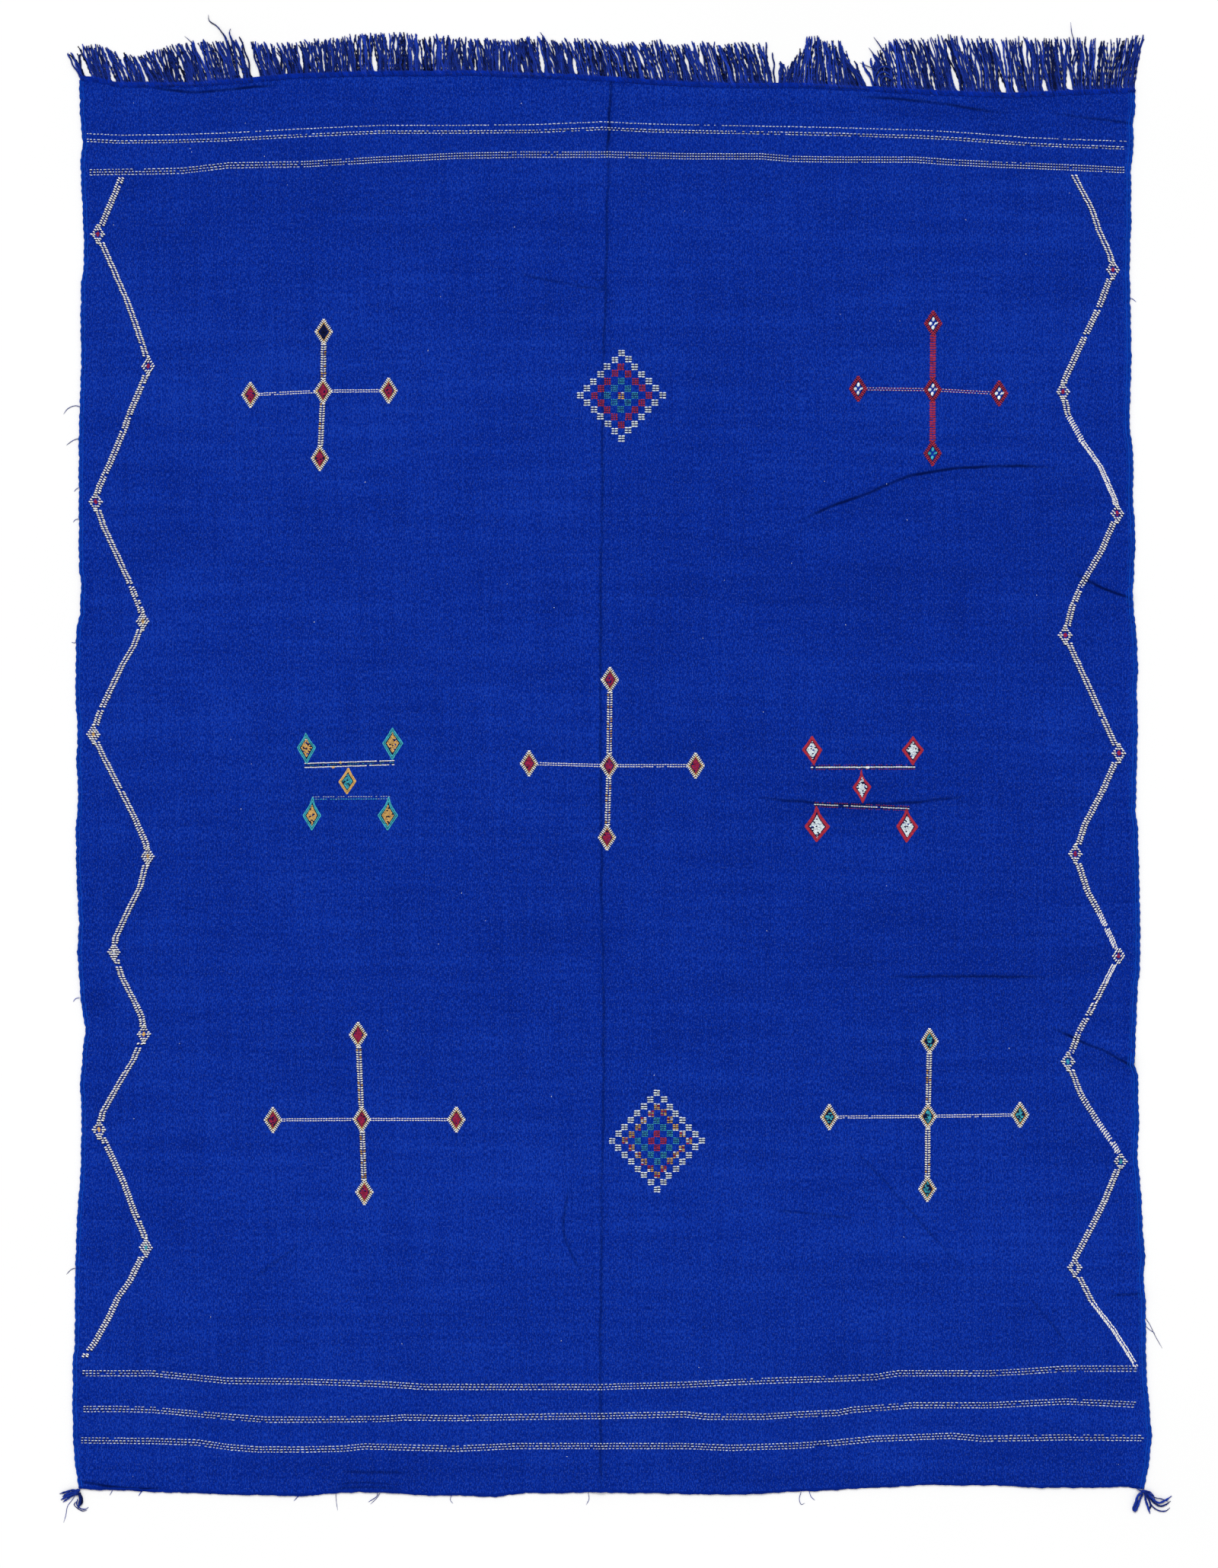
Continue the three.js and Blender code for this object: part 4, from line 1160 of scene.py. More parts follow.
def chart_outline(chart, point, scale, wide, yarn, tone):
    """A diamond's outline as one laid line, with its head and foot drawn in."""
    middle = (np.array(point.left) + point.right) / 2
    for end, neck in ((point.head, point.necks[0]), (point.foot, point.necks[1])):
        for side in (point.left, point.right):
            knee = []
            for axis in (0, 1):
                drawn = middle[axis] * (1 - NECK_PULL) + end[axis] * NECK_PULL
                knee.append((side[axis] + end[axis]) / 2 * (1 - neck) + drawn * neck)
            line = spline([side, knee, end], 6)
            lay_line(chart, middle + (line - middle) * scale, wide, yarn, tone)


def lay_line(chart, line, wide, yarn, tone):
    """Short stitches end to end along a line."""
    gone = np.concatenate([[0], np.cumsum(np.hypot(*np.diff(line, axis=0).T))])
    count = max(2, int(round(gone[-1] / LINE_PITCH)))
    for step in range(count):
        ends = [[np.interp(gone[-1] * part / count, gone, line[:, axis]) for axis in (0, 1)]
                for part in (step, step + 1)]
        (ax, ad), (bx, bd) = ends
        turn = math.degrees(math.atan2(ad - bd, bx - ax))
        chart.stitch(yarn, (ax + bx) / 2, (ad + bd) / 2, turn, LINE_PITCH * LINE_COVER, wide, tone, 0.45)


def chart_point(chart, point):
    """A diamond of laid lines round a close fill, with a dark line of painted shade in the gap between
    them.
    """
    for scale, wide, tone in OUTLINES[point.outline]:
        chart_outline(chart, point, scale, wide, point.outline, tone)
    # The dark line of painted shade between the outline and the fill
    chart_outline(chart, point, SHADE_GAP_LINE[0], SHADE_GAP_LINE[1], "night", 0.0)
    middle = ((point.left[0] + point.right[0]) / 2, (point.left[1] + point.right[1]) / 2)
    wide = (point.right[0] - point.left[0]) * FILL_SHARE
    tall = (point.foot[1] - point.head[1]) * FILL_SHARE
    chart_fill(chart, middle, (wide, tall), point.fill, *FILL_MIX)


def chart_bar(chart, start, end, rows):
    """Straight rows of stitches between two diamonds."""
    reach = math.hypot(end[0] - start[0], end[1] - start[1])
    turn = math.degrees(math.atan2(start[1] - end[1], end[0] - start[0]))
    count = int(reach / BAR_PITCH)
    for offset, yarn, long, wide, tone, skipped in rows:
        for step in range(count + 1):
            if chart.dice.rand() < skipped:
                continue
            part = step / count
            chart.stitch(yarn, start[0] + (end[0] - start[0]) * part,
                         start[1] + (end[1] - start[1]) * part + offset, turn, long, wide, tone, 0.6)


# The chequered lozenges: centre, pitch across and down, and the yarn of each ring by its distance
Lozenge = namedtuple("Lozenge", "across down step_across step_down rings")
LOZENGES = [
    Lozenge(22, 568.7, 12.35, 12.9, {6: "white", 4: "red", 2: "teal", 0: "ochre"}),
    Lozenge(86.4, 1911.2, 11.5, 12.4, {7: "white", 5: "ochre", 3: "teal", 1: "red"}),
]
# How each yarn fills its squares: lines, dashes a line, dash length and width, and tone of the inner dashes
SQUARES = {
    "white": (3, 2, 6.9, 2.5, -0.3), "red": (4, 3, 4.0, 2.6, 0.0), "teal": (4, 4, 2.5, 2.1, 0.0),
    "ochre": (4, 2, 6.0, 2.1, 0.0),
}
# How far squares stray, the share of an ochre square's dashes in other yarns, and the width of the dark
# dashes of painted shade between lines
SQUARE_STRAY = 0.6
OCHRE_MIX = 0.4
SQUARE_SHADE = 1.6


def chart_lozenge(chart, lozenge):
    """Squares of short laid lines, one in two left open as ground."""
    reach = max(lozenge.rings)
    for column in range(-reach, reach + 1):
        for row in range(-reach, reach + 1):
            yarn = lozenge.rings.get(abs(column) + abs(row))
            if not yarn:
                continue
            across = lozenge.across + column * lozenge.step_across + chart.dice.normal(0, SQUARE_STRAY)
            down = lozenge.down + row * lozenge.step_down + chart.dice.normal(0, SQUARE_STRAY)
            lines, dashes, long, wide, inner = SQUARES[yarn]
            for line in range(lines):
                drop = (line - (lines - 1) / 2) * lozenge.step_down / lines
                for dash in range(dashes):
                    along = (dash - (dashes - 1) / 2) * lozenge.step_across / dashes
                    within = 0 < line < lines - 1 and 0 < dash < dashes - 1
                    laid = yarn
                    if yarn == "ochre" and chart.dice.rand() < OCHRE_MIX:
                        laid = "red" if chart.dice.rand() < 0.5 else "cream"
                    tone = inner if within else 0.1
                    chart.stitch(laid, across + along, down + drop, 0, long, wide, tone, 0.8)
                    # Dark dashes of painted shade between the lines of a square
                    if line < lines - 1:
                        between = down + drop + lozenge.step_down / lines / 2
                        chart.stitch("night", across + along, between, 0, long, SQUARE_SHADE, 0.0, 0.6)


# The fringe: length of its strings and lean of their tips, as (across, by)
FRINGE_LONG = [
    (-944, 45), (-925, 55), (-892, 62), (-837, 44), (-803, 59), (-741, 70), (-665, 71), (-569, 55),
    (-494, 63), (-425, 69), (-274, 60), (-192, 59), (-75, 64), (41, 66), (172, 71), (288, 74),
    (316, 34), (340, 70), (351, 82), (400, 78), (432, 80), (440, 62), (463, 48), (483, 48), (521, 84),
    (624, 101), (720, 96), (789, 95), (844, 95), (892, 90), (945, 96),
]
FRINGE_LEAN = [
    (-944, -22), (-925, -16), (-892, -21), (-837, -22), (-803, -23), (-741, -25), (-665, -20),
    (-569, -16), (-494, -8), (-425, -4), (-274, -4), (-192, -6), (-75, -15), (41, -19), (172, -21),
    (288, -22), (316, 4), (340, 12), (351, 9), (400, -8), (432, -10), (442, -26), (464, -30), (483, -9),
    (521, -20), (624, -25), (720, -16), (789, -13), (844, -5), (892, 7), (945, 15),
]
BARE_STRETCHES = [(-943, -930), (-894, -889), (-643, -627), (299, 307), (464, 477)]
# Where strings part and the floor shows: root place, how far along, reach along, and width
SLITS = [
    (-936, 0.4, 0.4, 7), (-891, 0.4, 0.45, 7), (-830, 0.25, 0.28, 7), (-764, 0.35, 0.35, 7),
    (-724, 0.25, 0.2, 3), (-660, 0.2, 0.25, 7), (-580, 0.2, 0.2, 5), (-465, 0.15, 0.15, 5),
    (-420, 0.3, 0.3, 7), (-445, 0.6, 0.3, 4), (-265, 0.5, 0.4, 5), (-240, 0.45, 0.5, 7),
    (-226, 0.5, 0.5, 5), (-155, 0.25, 0.2, 3), (-118, 0.3, 0.3, 4), (-98, 0.4, 0.35, 4),
    (-58, 0.3, 0.35, 5), (-36, 0.2, 0.2, 3), (587, 0.25, 0.25, 7), (630, 0.3, 0.3, 9),
    (672, 0.6, 0.2, 9), (711, 0.15, 0.25, 10), (733, 0.15, 0.2, 8), (760, 0.8, 0.15, 6),
    (786, 0.15, 0.25, 9), (800, 0.65, 0.15, 7), (830, 0.15, 0.25, 10), (840, 0.65, 0.15, 9),
]
FRINGE_RINGS = 18
# Each string leaves the cloth's edge slanting over the twined heading: lean, depth, height, share, tone
TWINE_LEAN = 4
TWINE_DEEP = 5
TWINE_HIGH = 2.2
TWINE_PART = 0.12
TWINE_TONE = 0.35
# Metres in which a two-ply string's lobes turn once, and how deep they are
STRING_TURN = 0.018
STRING_PLY = 0.2
SLIT_SPREAD = 9
# Small slits from the seeded dice: how many, how far along, reach and width
SMALL_SLIT = {"count": 60, "at": (0.2, 0.75), "reach": (0.1, 0.25), "wide": (0.8, 2.4)}
# Clumps of strings that hang together: how many, their widths, how length and lean differ from one to
# the next, and what share of the way to a clump's middle its strings' tips are drawn
CLUMP = {"count": 90, "wide": (10, 34), "long": 2.4, "lean": 1.6, "drawn": 0.06}
# The strings under the fringe, darker as painted shade beneath the upper strings: pitch, half width, rings,
# share of the length, tone, and stray
UNDER = {"pitch": 3.7, "half": 2.75, "rings": 9, "share": 0.93, "tone": -0.22, "stray": (0.85, 6.0)}
UNDER_KEYS = ("pitch", "half", "rings", "share", "tone", "stray")
# Share of the upper strings whose tips stray, and how far
STRAY = (0.14, 9.0)
# How single strings differ: root, length, lean, the share of short ones and how short, half width's share,
# how high over its neighbours one lies, and tone
STRING = {
    "root": 0.5, "long": 1.9, "lean": 1.3, "short": 0.12, "short_by": (0.75, 0.92), "wide": (0.8, 1.2),
    "over": (0, 2.4), "tone": 0.22,
}
# Waves along a string: how many, and how far they swing
STRING_WAVES = ((0.8, 2.4), (2.3, 1.2))


def fringe_roots(pitch):
    roots = np.arange(LEFT_LINE + 4, FRINGE_END[-1][0] - 3, pitch)
    keep = np.ones(len(roots), bool)
    for start, end in BARE_STRETCHES:
        keep &= (roots < start) | (roots > end)
    return roots[keep]


def fringe_strings(pitch, thick, rings, share, tone, stray, dice):
    """Paths, half widths and tones of one layer of the fringe's strings."""
    common = np.random.RandomState(SEED + 6)
    clumps = CLUMP["count"]
    bounds = np.cumsum(common.uniform(*CLUMP["wide"], clumps)) + LEFT_LINE
    clump_long = common.normal(0, CLUMP["long"], clumps + 1)
    clump_lean = common.normal(0, CLUMP["lean"], clumps + 1)
    ranges = ((LEFT_LINE, RIGHT_LINE), SMALL_SLIT["at"], SMALL_SLIT["reach"], SMALL_SLIT["wide"])
    small = zip(*[common.uniform(low, high, SMALL_SLIT["count"]) for low, high in ranges])
    roots = fringe_roots(pitch)
    count = len(roots)
    roots = roots + dice.normal(0, STRING["root"], count)
    clump = np.searchsorted(bounds, roots)
    part = np.linspace(0, 1, rings)[None, :]
    long = table_at(FRINGE_LONG, roots) + clump_long[clump] + dice.normal(0, STRING["long"], count)
    long *= share
    short = dice.rand(count) < STRING["short"]
    long = np.where(short, long * dice.uniform(*STRING["short_by"], count), long)
    lean = table_at(FRINGE_LEAN, roots) + clump_lean[clump] + dice.normal(0, STRING["lean"], count)
    lean += np.where(dice.rand(count) < stray[0], dice.normal(0, stray[1], count), 0)
    middles = np.array([roots[clump == index].mean() if np.any(clump == index) else 0
                        for index in range(clumps + 1)])
    drift = (lean + (middles[clump] - roots) * CLUMP["drawn"])[:, None] * part ** 1.25
    for waves, by in STRING_WAVES:
        phase = dice.uniform(0, 2 * math.pi, count)[:, None]
        drift = drift + by * (np.sin(2 * math.pi * waves * part + phase) - np.sin(phase)) * part ** 0.5
    for place, at, reach, wide in [*SLITS, *small]:
        away = roots - place
        push = np.sign(away) * wide * 0.6 * np.exp(-np.abs(away) / SLIT_SPREAD)
        drift = drift + push[:, None] * np.exp(-((part - at) / reach) ** 2)
    twine = np.clip(1 - part / TWINE_PART, 0, 1)
    across = roots[:, None] + drift + TWINE_LEAN * twine
    down = fringe_end(roots)[:, None] + TWINE_DEEP - (long[:, None] + TWINE_DEEP) * part
    taper = np.clip((1.03 - part) / 0.08, 0.62, 1) * (1 - 0.1 * part)
    half = thick * taper * dice.uniform(*STRING["wide"], count)[:, None]
    over = dice.uniform(*STRING["over"], count)[:, None] * np.sin(math.pi * np.clip(part * 1.15, 0, 1)) ** 2
    high = half * 0.8 + over * (1 - part ** 2) + TWINE_HIGH * twine
    tones = tone + dice.normal(0, STRING["tone"], count)[:, None] + TWINE_TONE * twine
    return metres(across, down, high), half * MM, tones


# The strings of each tassel, listed as stops of (across, down, high) with a half width
Laid = namedtuple("Laid", "half stops")
TASSEL_LEFT = [
    Laid(2.4, [(-958, 2543, 3), (-966, 2544, 3.5), (-975, 2547, 3), (-985, 2552, 1.6)]),
    Laid(2.2, [(-958, 2544, 2.5), (-967, 2548, 3), (-977, 2552, 2.6), (-988, 2558, 1.4)]),
    Laid(2.0, [(-957, 2541, 4), (-967, 2540, 4.2), (-977, 2543, 3), (-990, 2547, 1.4)]),
    Laid(1.8, [(-958, 2546, 2), (-968, 2551, 2), (-977, 2557, 1.6), (-984, 2562, 1.2)]),
    Laid(2.4, [(-956, 2545, 3), (-953, 2555, 3.4), (-954, 2564, 3), (-957, 2573, 1.6)]),
    Laid(2.1, [(-954, 2545, 3), (-950, 2554, 2.5), (-950, 2563, 2), (-955, 2570, 1.4)]),
    Laid(1.1, [(-957, 2556, 4), (-959, 2566, 3), (-953, 2573, 1.6), (-944, 2575, 1.2), (-938, 2571, 1)]),
    Laid(0.9, [(-958, 2560, 3), (-964, 2566, 1.5), (-958, 2573, 1.2), (-949, 2578, 1), (-941, 2577, 0.8)]),
    Laid(0.6, [(-962, 2550, 2), (-969, 2560, 1), (-976, 2570, 0.7), (-979, 2586, 0.6), (-983, 2599, 0.6)]),
]
TASSEL_RIGHT = [
    Laid(2.7, [(962, 2543, 3.5), (953, 2550, 4), (949, 2562, 3.5), (945, 2573, 2.4), (948, 2578, 2.2),
               (953, 2568, 2.6), (957, 2556, 3), (963, 2548, 3)]),
    Laid(1.9, [(961, 2546, 2.5), (957, 2556, 2.2), (950, 2566, 2), (944, 2577, 1.5)]),
    Laid(2.3, [(966, 2547, 3), (967, 2558, 3.2), (971, 2570, 2.4), (975, 2583, 1.2)]),
    Laid(1.9, [(968, 2547, 2.4), (973, 2558, 2.2), (976, 2568, 1.8), (973, 2577, 1.2)]),
    Laid(2.2, [(969, 2544, 3.4), (979, 2555, 3.2), (990, 2563, 2.4), (1002, 2559, 1.8), (1014, 2551, 1.2)]),
    Laid(1.8, [(970, 2548, 2.4), (981, 2562, 2.2), (993, 2569, 2), (1004, 2566, 1.6), (1012, 2560, 1.1)]),
    Laid(1.4, [(969, 2550, 2), (978, 2568, 1.8), (990, 2577, 1.5), (1003, 2578, 1.2), (1011, 2572, 1)]),
    Laid(1.0, [(971, 2543, 4), (983, 2553, 4), (996, 2556, 2.5), (1009, 2562, 1.2)]),
    Laid(1.3, [(966, 2541, 5), (974, 2543, 4.6), (980, 2549, 3), (984, 2556, 1.6)]),
    Laid(1.2, [(950, 2536, 4.4), (957, 2541, 5.2), (965, 2544, 5.6), (972, 2545, 4)]),
]
TASSEL_KNOTS = {
    "tassel_left": (-958.8, 2543.4, [(0, 0, 70, 13, 8), (-2, 2.5, -35, 12, 6), (1.5, -2.5, 15, 11, 5.5)]),
    "tassel_right": (967.3, 2545, [(0, 0, -60, 13, 8), (-3, -2, -25, 13, 5.5), (2, 2.5, 40, 11, 5.5)]),
}
TASSEL_RINGS = 30

# Loose threads at the hem and the selvedges, then stray and tangled strings of the fringe
THREADS = [
    Laid(0.55, [(-894, 2536, 2.4), (-896, 2543, 1), (-900, 2550, 0.6)]),
    Laid(0.8, [(-834, 2540, 2.4), (-842, 2543, 1), (-848, 2551, 0.8)]),
    Laid(0.7, [(-549, 2548, 2.4), (-560, 2552, 1), (-568, 2560, 0.8)]),
    Laid(0.5, [(-492.5, 2541, 2.6), (-491.5, 2560, 0.6), (-489, 2577, 0.5)]),
    Laid(0.7, [(-416, 2541, 2.6), (-419, 2552, 1), (-434, 2562, 0.7)]),
    Laid(0.5, [(-411, 2542, 2.6), (-418, 2554, 0.8), (-430, 2566, 0.5)]),
    Laid(0.5, [(-284, 2549, 2.4), (-286, 2558, 0.8), (-281, 2565, 0.5)]),
    Laid(0.55, [(-38, 2543, 2.4), (-36, 2556, 0.8), (-41, 2567, 0.5)]),
    Laid(0.6, [(346, 2543, 2.4), (343, 2556, 0.8), (346, 2566, 0.6), (353, 2564, 0.6)]),
    Laid(0.6, [(361, 2543, 2.4), (364, 2552, 0.8), (371, 2559, 0.6)]),
    Laid(0.6, [(966, 2229, 2.4), (975, 2243, 0.9), (984, 2262, 0.6), (997, 2285, 0.6)]),
    Laid(0.55, [(966, 2244, 2.4), (975, 2252, 0.8), (984, 2258, 0.6)]),
    Laid(0.6, [(936, 392, 2.6), (944, 395, 0.9), (950, 400, 0.6)]),
    Laid(0.7, [(-949, 590, 2.6), (-962, 587, 0.9), (-975, 592, 0.7), (-983, 602, 0.7)]),
    Laid(0.7, [(-952, 645, 2.6), (-965, 649, 0.8), (-978, 658, 0.7)]),
    Laid(0.6, [(-954, 734, 2.6), (-960, 737, 0.8), (-964, 742, 0.6)]),
    Laid(0.6, [(-954, 791, 2.6), (-961, 792, 0.8), (-966, 797, 0.6)]),
    Laid(0.55, [(-957, 1011, 2.6), (-963, 1014, 0.8), (-969, 1013, 0.6)]),
    Laid(0.6, [(-954, 1653, 2.6), (-961, 1655, 0.8), (-966, 1661, 0.6)]),
    Laid(0.6, [(-958, 2139, 2.6), (-969, 2143, 0.8), (-978, 2152, 0.6)]),
    Laid(2.4, [(-672, -6, 3), (-680, -30, 4), (-687, -62, 4), (-693, -80, 2.4), (-700, -88, 1.6)]),
    Laid(2.2, [(-668, -6, 3), (-672, -34, 4.6), (-678, -66, 4.4), (-684, -84, 2.4), (-682, -92, 1.6)]),
    Laid(1.3, [(-684, -62, 4.4), (-694, -80, 3), (-706, -96, 1.8), (-720, -106, 1.2), (-722, -117, 1)]),
    Laid(0.7, [(-740, -45, 3), (-748, -62, 2), (-757, -72, 1), (-765, -79, 0.7)]),
    Laid(1.5, [(-100, -36, 3.4), (-108, -58, 3.4), (-116, -74, 2.2), (-124, -86, 1.4)]),
    Laid(1.0, [(500, 8, 3), (487, -4, 4), (478, -18, 4), (465, -25, 2), (452, -31, 1)]),
    Laid(1.3, [(505, 0, 4), (492, -25, 4.5), (480, -42, 3), (468, -58, 1.2)]),
    Laid(1.2, [(508, -20, 4), (498, -45, 4), (488, -62, 2.5), (477, -77, 1.2)]),
    Laid(2.0, [(482, 10, 3), (484, -6, 5), (494, -14, 5.5), (506, -8, 5), (512, 4, 4), (506, 12, 3)]),
    Laid(2.0, [(478, 8, 3), (480, -10, 4.5), (490, -22, 5), (503, -22, 4.5), (514, -12, 4)]),
    Laid(1.8, [(490, 9, 3.5), (492, -2, 5.5), (500, -6, 6), (510, 0, 5), (520, 8, 3)]),
    Laid(0.9, [(836, -30, 3.4), (840, -62, 3), (834, -84, 1.6), (832, -104, 1)]),
]
THREAD_RINGS = 24
THREAD_PLY = 0.22
THREAD_TONE = 0.2


def laid_yarn(name, rows, rings, sides, dice):
    """Listed strings of one piece, thinner towards their free ends."""
    paths = np.stack([smooth_path(row.stops, rings) for row in rows])
    taper = np.clip((1.05 - np.linspace(0, 1, rings)) / 0.25, 0.35, 1)
    half = np.array([row.half for row in rows])[:, None] * taper[None, :] * MM
    paths[..., 2] = np.maximum(paths[..., 2], half * 0.9)
    tones = dice.normal(0, THREAD_TONE, len(rows))
    return tubes(name, paths, half, half * 0.85, tones, sides, THREAD_PLY, STRING_TURN)


# Operators, one for each piece or group of like pieces
class RUG_OT_stage(bpy.types.Operator):
    """Lay the pale floor, hang the soft light and set the camera straight above the rug"""
    bl_idname = "rug.stage"
    bl_label = "Stage"

    view_across = 0.0
    view_down = 1268.4
    view_tall = 2.825
    camera_high = 8.0
    sensor = 36.0
    floor_size = 60.0
    room_strength = 0.69
    sun_strength = 1.62
    sun_soft = 24
    sun_turn = (-42, -14, 0)

    def execute(self, context):
        scene = context.scene
        scene.view_settings.view_transform = "Standard"
        self.lay_floor(context)
        self.light(scene)
        camera = bpy.data.cameras.new("camera")
        camera.sensor_width = self.sensor
        camera.lens = self.sensor * self.camera_high / self.view_tall
        camera.dof.use_dof = False
        holder = bpy.data.objects.new("camera", camera)
        spot = metres(self.view_across, self.view_down, 0)
        holder.location = (spot[0], spot[1], self.camera_high)
        scene.collection.objects.link(holder)
        scene.camera = holder
        return {"FINISHED"}

    def lay_floor(self, context):
        select_nothing()
        bpy.ops.mesh.primitive_plane_add(size=self.floor_size, location=(0, 0, 0))
        floor = context.active_object
        floor.name = floor.data.name = "floor"
        material, tree = new_material("pale_floor")
        place = object_place(tree)
        cloudy = patterned(tree, place, 900, 900)
        colour = blend_colours(tree, cloudy, (0.93, 0.93, 0.93, 1), (0.96, 0.96, 0.96, 1))
        shader = add(tree, "ShaderNodeBsdfPrincipled", {
            "Base Color": colour, "Roughness": 0.95, "Specular IOR Level": 0.0})
        add(tree, "ShaderNodeOutputMaterial", {"Surface": shader.outputs[0]})
        floor.data.materials.append(material)

    def light(self, scene):
        world = bpy.data.worlds.new("soft_room")
        world.use_nodes = True
        sky = world.node_tree.nodes["Background"]
        sky.inputs["Color"].default_value = (1.0, 1.0, 1.0, 1.0)
        sky.inputs["Strength"].default_value = self.room_strength
        scene.world = world
        sun = bpy.data.lights.new("soft_window", "SUN")
        sun.energy = self.sun_strength
        sun.angle = math.radians(self.sun_soft)
        holder = bpy.data.objects.new("soft_window", sun)
        holder.rotation_euler = [math.radians(turn) for turn in self.sun_turn]
        scene.collection.objects.link(holder)


class RUG_OT_cloth(bpy.types.Operator):
    """Weave the ground cloth: a thin sheet to the rug's outline with its creases and swells"""
    bl_idname = "rug.cloth"
    bl_label = "Ground cloth"

    edge_tuck = 2.2
    sharp_edge = 50

    def execute(self, context):
        settings = context.scene.rug_cloth
        select_nothing()
        bpy.ops.mesh.primitive_grid_add(
            x_subdivisions=settings.cells_across, y_subdivisions=settings.cells_down, size=1)
        cloth = context.active_object
        cloth.name = cloth.data.name = "ground_cloth"
        points = read_points(cloth)
        part_across = points[:, 0] + 0.5
        part_down = 0.5 - points[:, 1]
        first = LEFT_LINE + (RIGHT_LINE - LEFT_LINE) * part_across
        top = fringe_end(first) + HEADING_WIDE
        down = top + (hem_end(first) - self.edge_tuck - top) * part_down
        left = left_side(down) + self.edge_tuck
        across = left + (right_side(down) - self.edge_tuck - left) * part_across
        lift, off, ink = crease_field(across, down)
        write_points(cloth, metres(across, down, lift + swell(across, down)))
        # The signed way to the nearest crease and how strong its painted shade is, for the ground's colour
        set_value(cloth, "crease_off", off)
        set_value(cloth, "crease_ink", ink)
        # Soft patches of tone, partly the wool's own uneven tone and partly painted light and shade of the
        # lying cloth
        tone = np.zeros(len(across))
        for patch in TONE_AND_SHADE_PATCHES:
            away = ((across - patch.across) / patch.wide) ** 2 + ((down - patch.down) / patch.tall) ** 2
            tone += patch.by * np.exp(-away)
        set_value(cloth, "tone", tone)
        use_only(cloth)
        wall = cloth.modifiers.new("wall", "SOLIDIFY")
        wall.thickness = settings.thick
        wall.offset = 1.0
        bpy.ops.object.modifier_apply(modifier=wall.name)
        finish_piece(cloth, "ground_wool", "ground_yarn", ["cloth"])
        bpy.ops.object.shade_smooth_by_angle(angle=math.radians(self.sharp_edge))
        return {"FINISHED"}


class RUG_OT_selvedges(bpy.types.Operator):
    """Wrap two lumpy cords down each side"""
    bl_idname = "rug.selvedges"
    bl_label = "Selvedges"

    step = 4.0
    # Each cord: how far in it lies, its share of the half width, and its tone
    left_cords = ((2.4, 0.95, 0.1), (7.2, 0.6, 0.3))
    right_cords = ((2.6, 1.05, 0.1), (7.6, 0.8, 0.25), (12.0, 0.5, 0.15))
    # Millimetres from lump to lump and from scallop to scallop, and how deep both are
    lump = 14.0
    lump_share = 0.16
    scallop = 47.0
    scallop_deep = 1.5
    # Height over width, how far the cords are sunk in the cloth, and how much higher the inner ones lie
    flat = 0.72
    sunk = 1.2
    inner_from = 5
    inner_lift = 0.5

    def execute(self, context):
        dice = np.random.RandomState(SEED + 1)
        half = context.scene.rug_cloth.selvedge / MM
        down = np.arange(0, 2541, self.step)
        sides = (
            ("selvedge_left", left_side, 1, self.left_cords),
            ("selvedge_right", right_side, -1, self.right_cords))
        for name, side, inward, cords in sides:
            top = fringe_end(side(0)) + HEADING_WIDE - 2
            foot = hem_end(side(HEM_DOWN)) - 1
            rows = top + (foot - top) * down / down[-1]
            paths, wide, tall = [], [], []
            for inset, by, _ in cords:
                beat = 2 * math.pi * rows / self.lump + 0.9 * np.sin(rows / 61 + inset)
                lumps = 1 + self.lump_share * np.sin(beat) + 0.05 * dice.normal(size=len(rows))
                notch = np.abs(np.sin(math.pi * rows / self.scallop + 1.6 * np.sin(rows / 83))) ** 0.5
                way_in = inset + self.scallop_deep * (0.8 - notch) - 0.3 * np.sin(beat)
                across = side(rows) + inward * way_in
                deep = half * self.flat * by * lumps
                lift = self.inner_lift if inset > self.inner_from else 0
                high = np.maximum(cloth_top(across, rows) - self.sunk + lift, deep)
                paths.append(metres(across, rows, high))
                wide.append(half * by * lumps * MM)
                tall.append(deep * MM)
            tones = [tone for _, _, tone in cords]
            piece = tubes(name, np.stack(paths), np.stack(wide), np.stack(tall), tones, 8)
            finish_piece(piece, "selvedge_wool", "ground_yarn")
        return {"FINISHED"}


class RUG_OT_hem(bpy.types.Operator):
    """Roll the turned hem along the plain end"""
    bl_idname = "rug.hem"
    bl_label = "Hem"

    step = 5.0
    inset = 3.0
    half_wide = 3.1
    half_tall = 1.75
    sunk = 1.15
    lump_share = 0.12

    def execute(self, context):
        dice = np.random.RandomState(SEED + 2)
        across = np.arange(HEM_END[0][0] + 1, HEM_END[-1][0] - 1, self.step)
        count = len(across)
        down = hem_end(across) - self.inset + 0.5 * np.sin(across / 19) + dice.normal(0, 0.25, count)
        beat = across / 5.3 + 1.1 * np.sin(across / 43)
        lumps = 1 + self.lump_share * np.sin(beat) + dice.normal(0, 0.05, count)
        high = np.maximum(cloth_top(across, down) - self.sunk, self.half_tall * lumps)
        path = metres(across, down, high)[None]
        wide = (self.half_wide * lumps * MM)[None]
        tall = (self.half_tall * lumps * MM)[None]
        roll = tubes("hem_roll", path, wide, tall, (0.0,), 10)
        finish_piece(roll, "hem_wool", "ground_yarn")
        return {"FINISHED"}


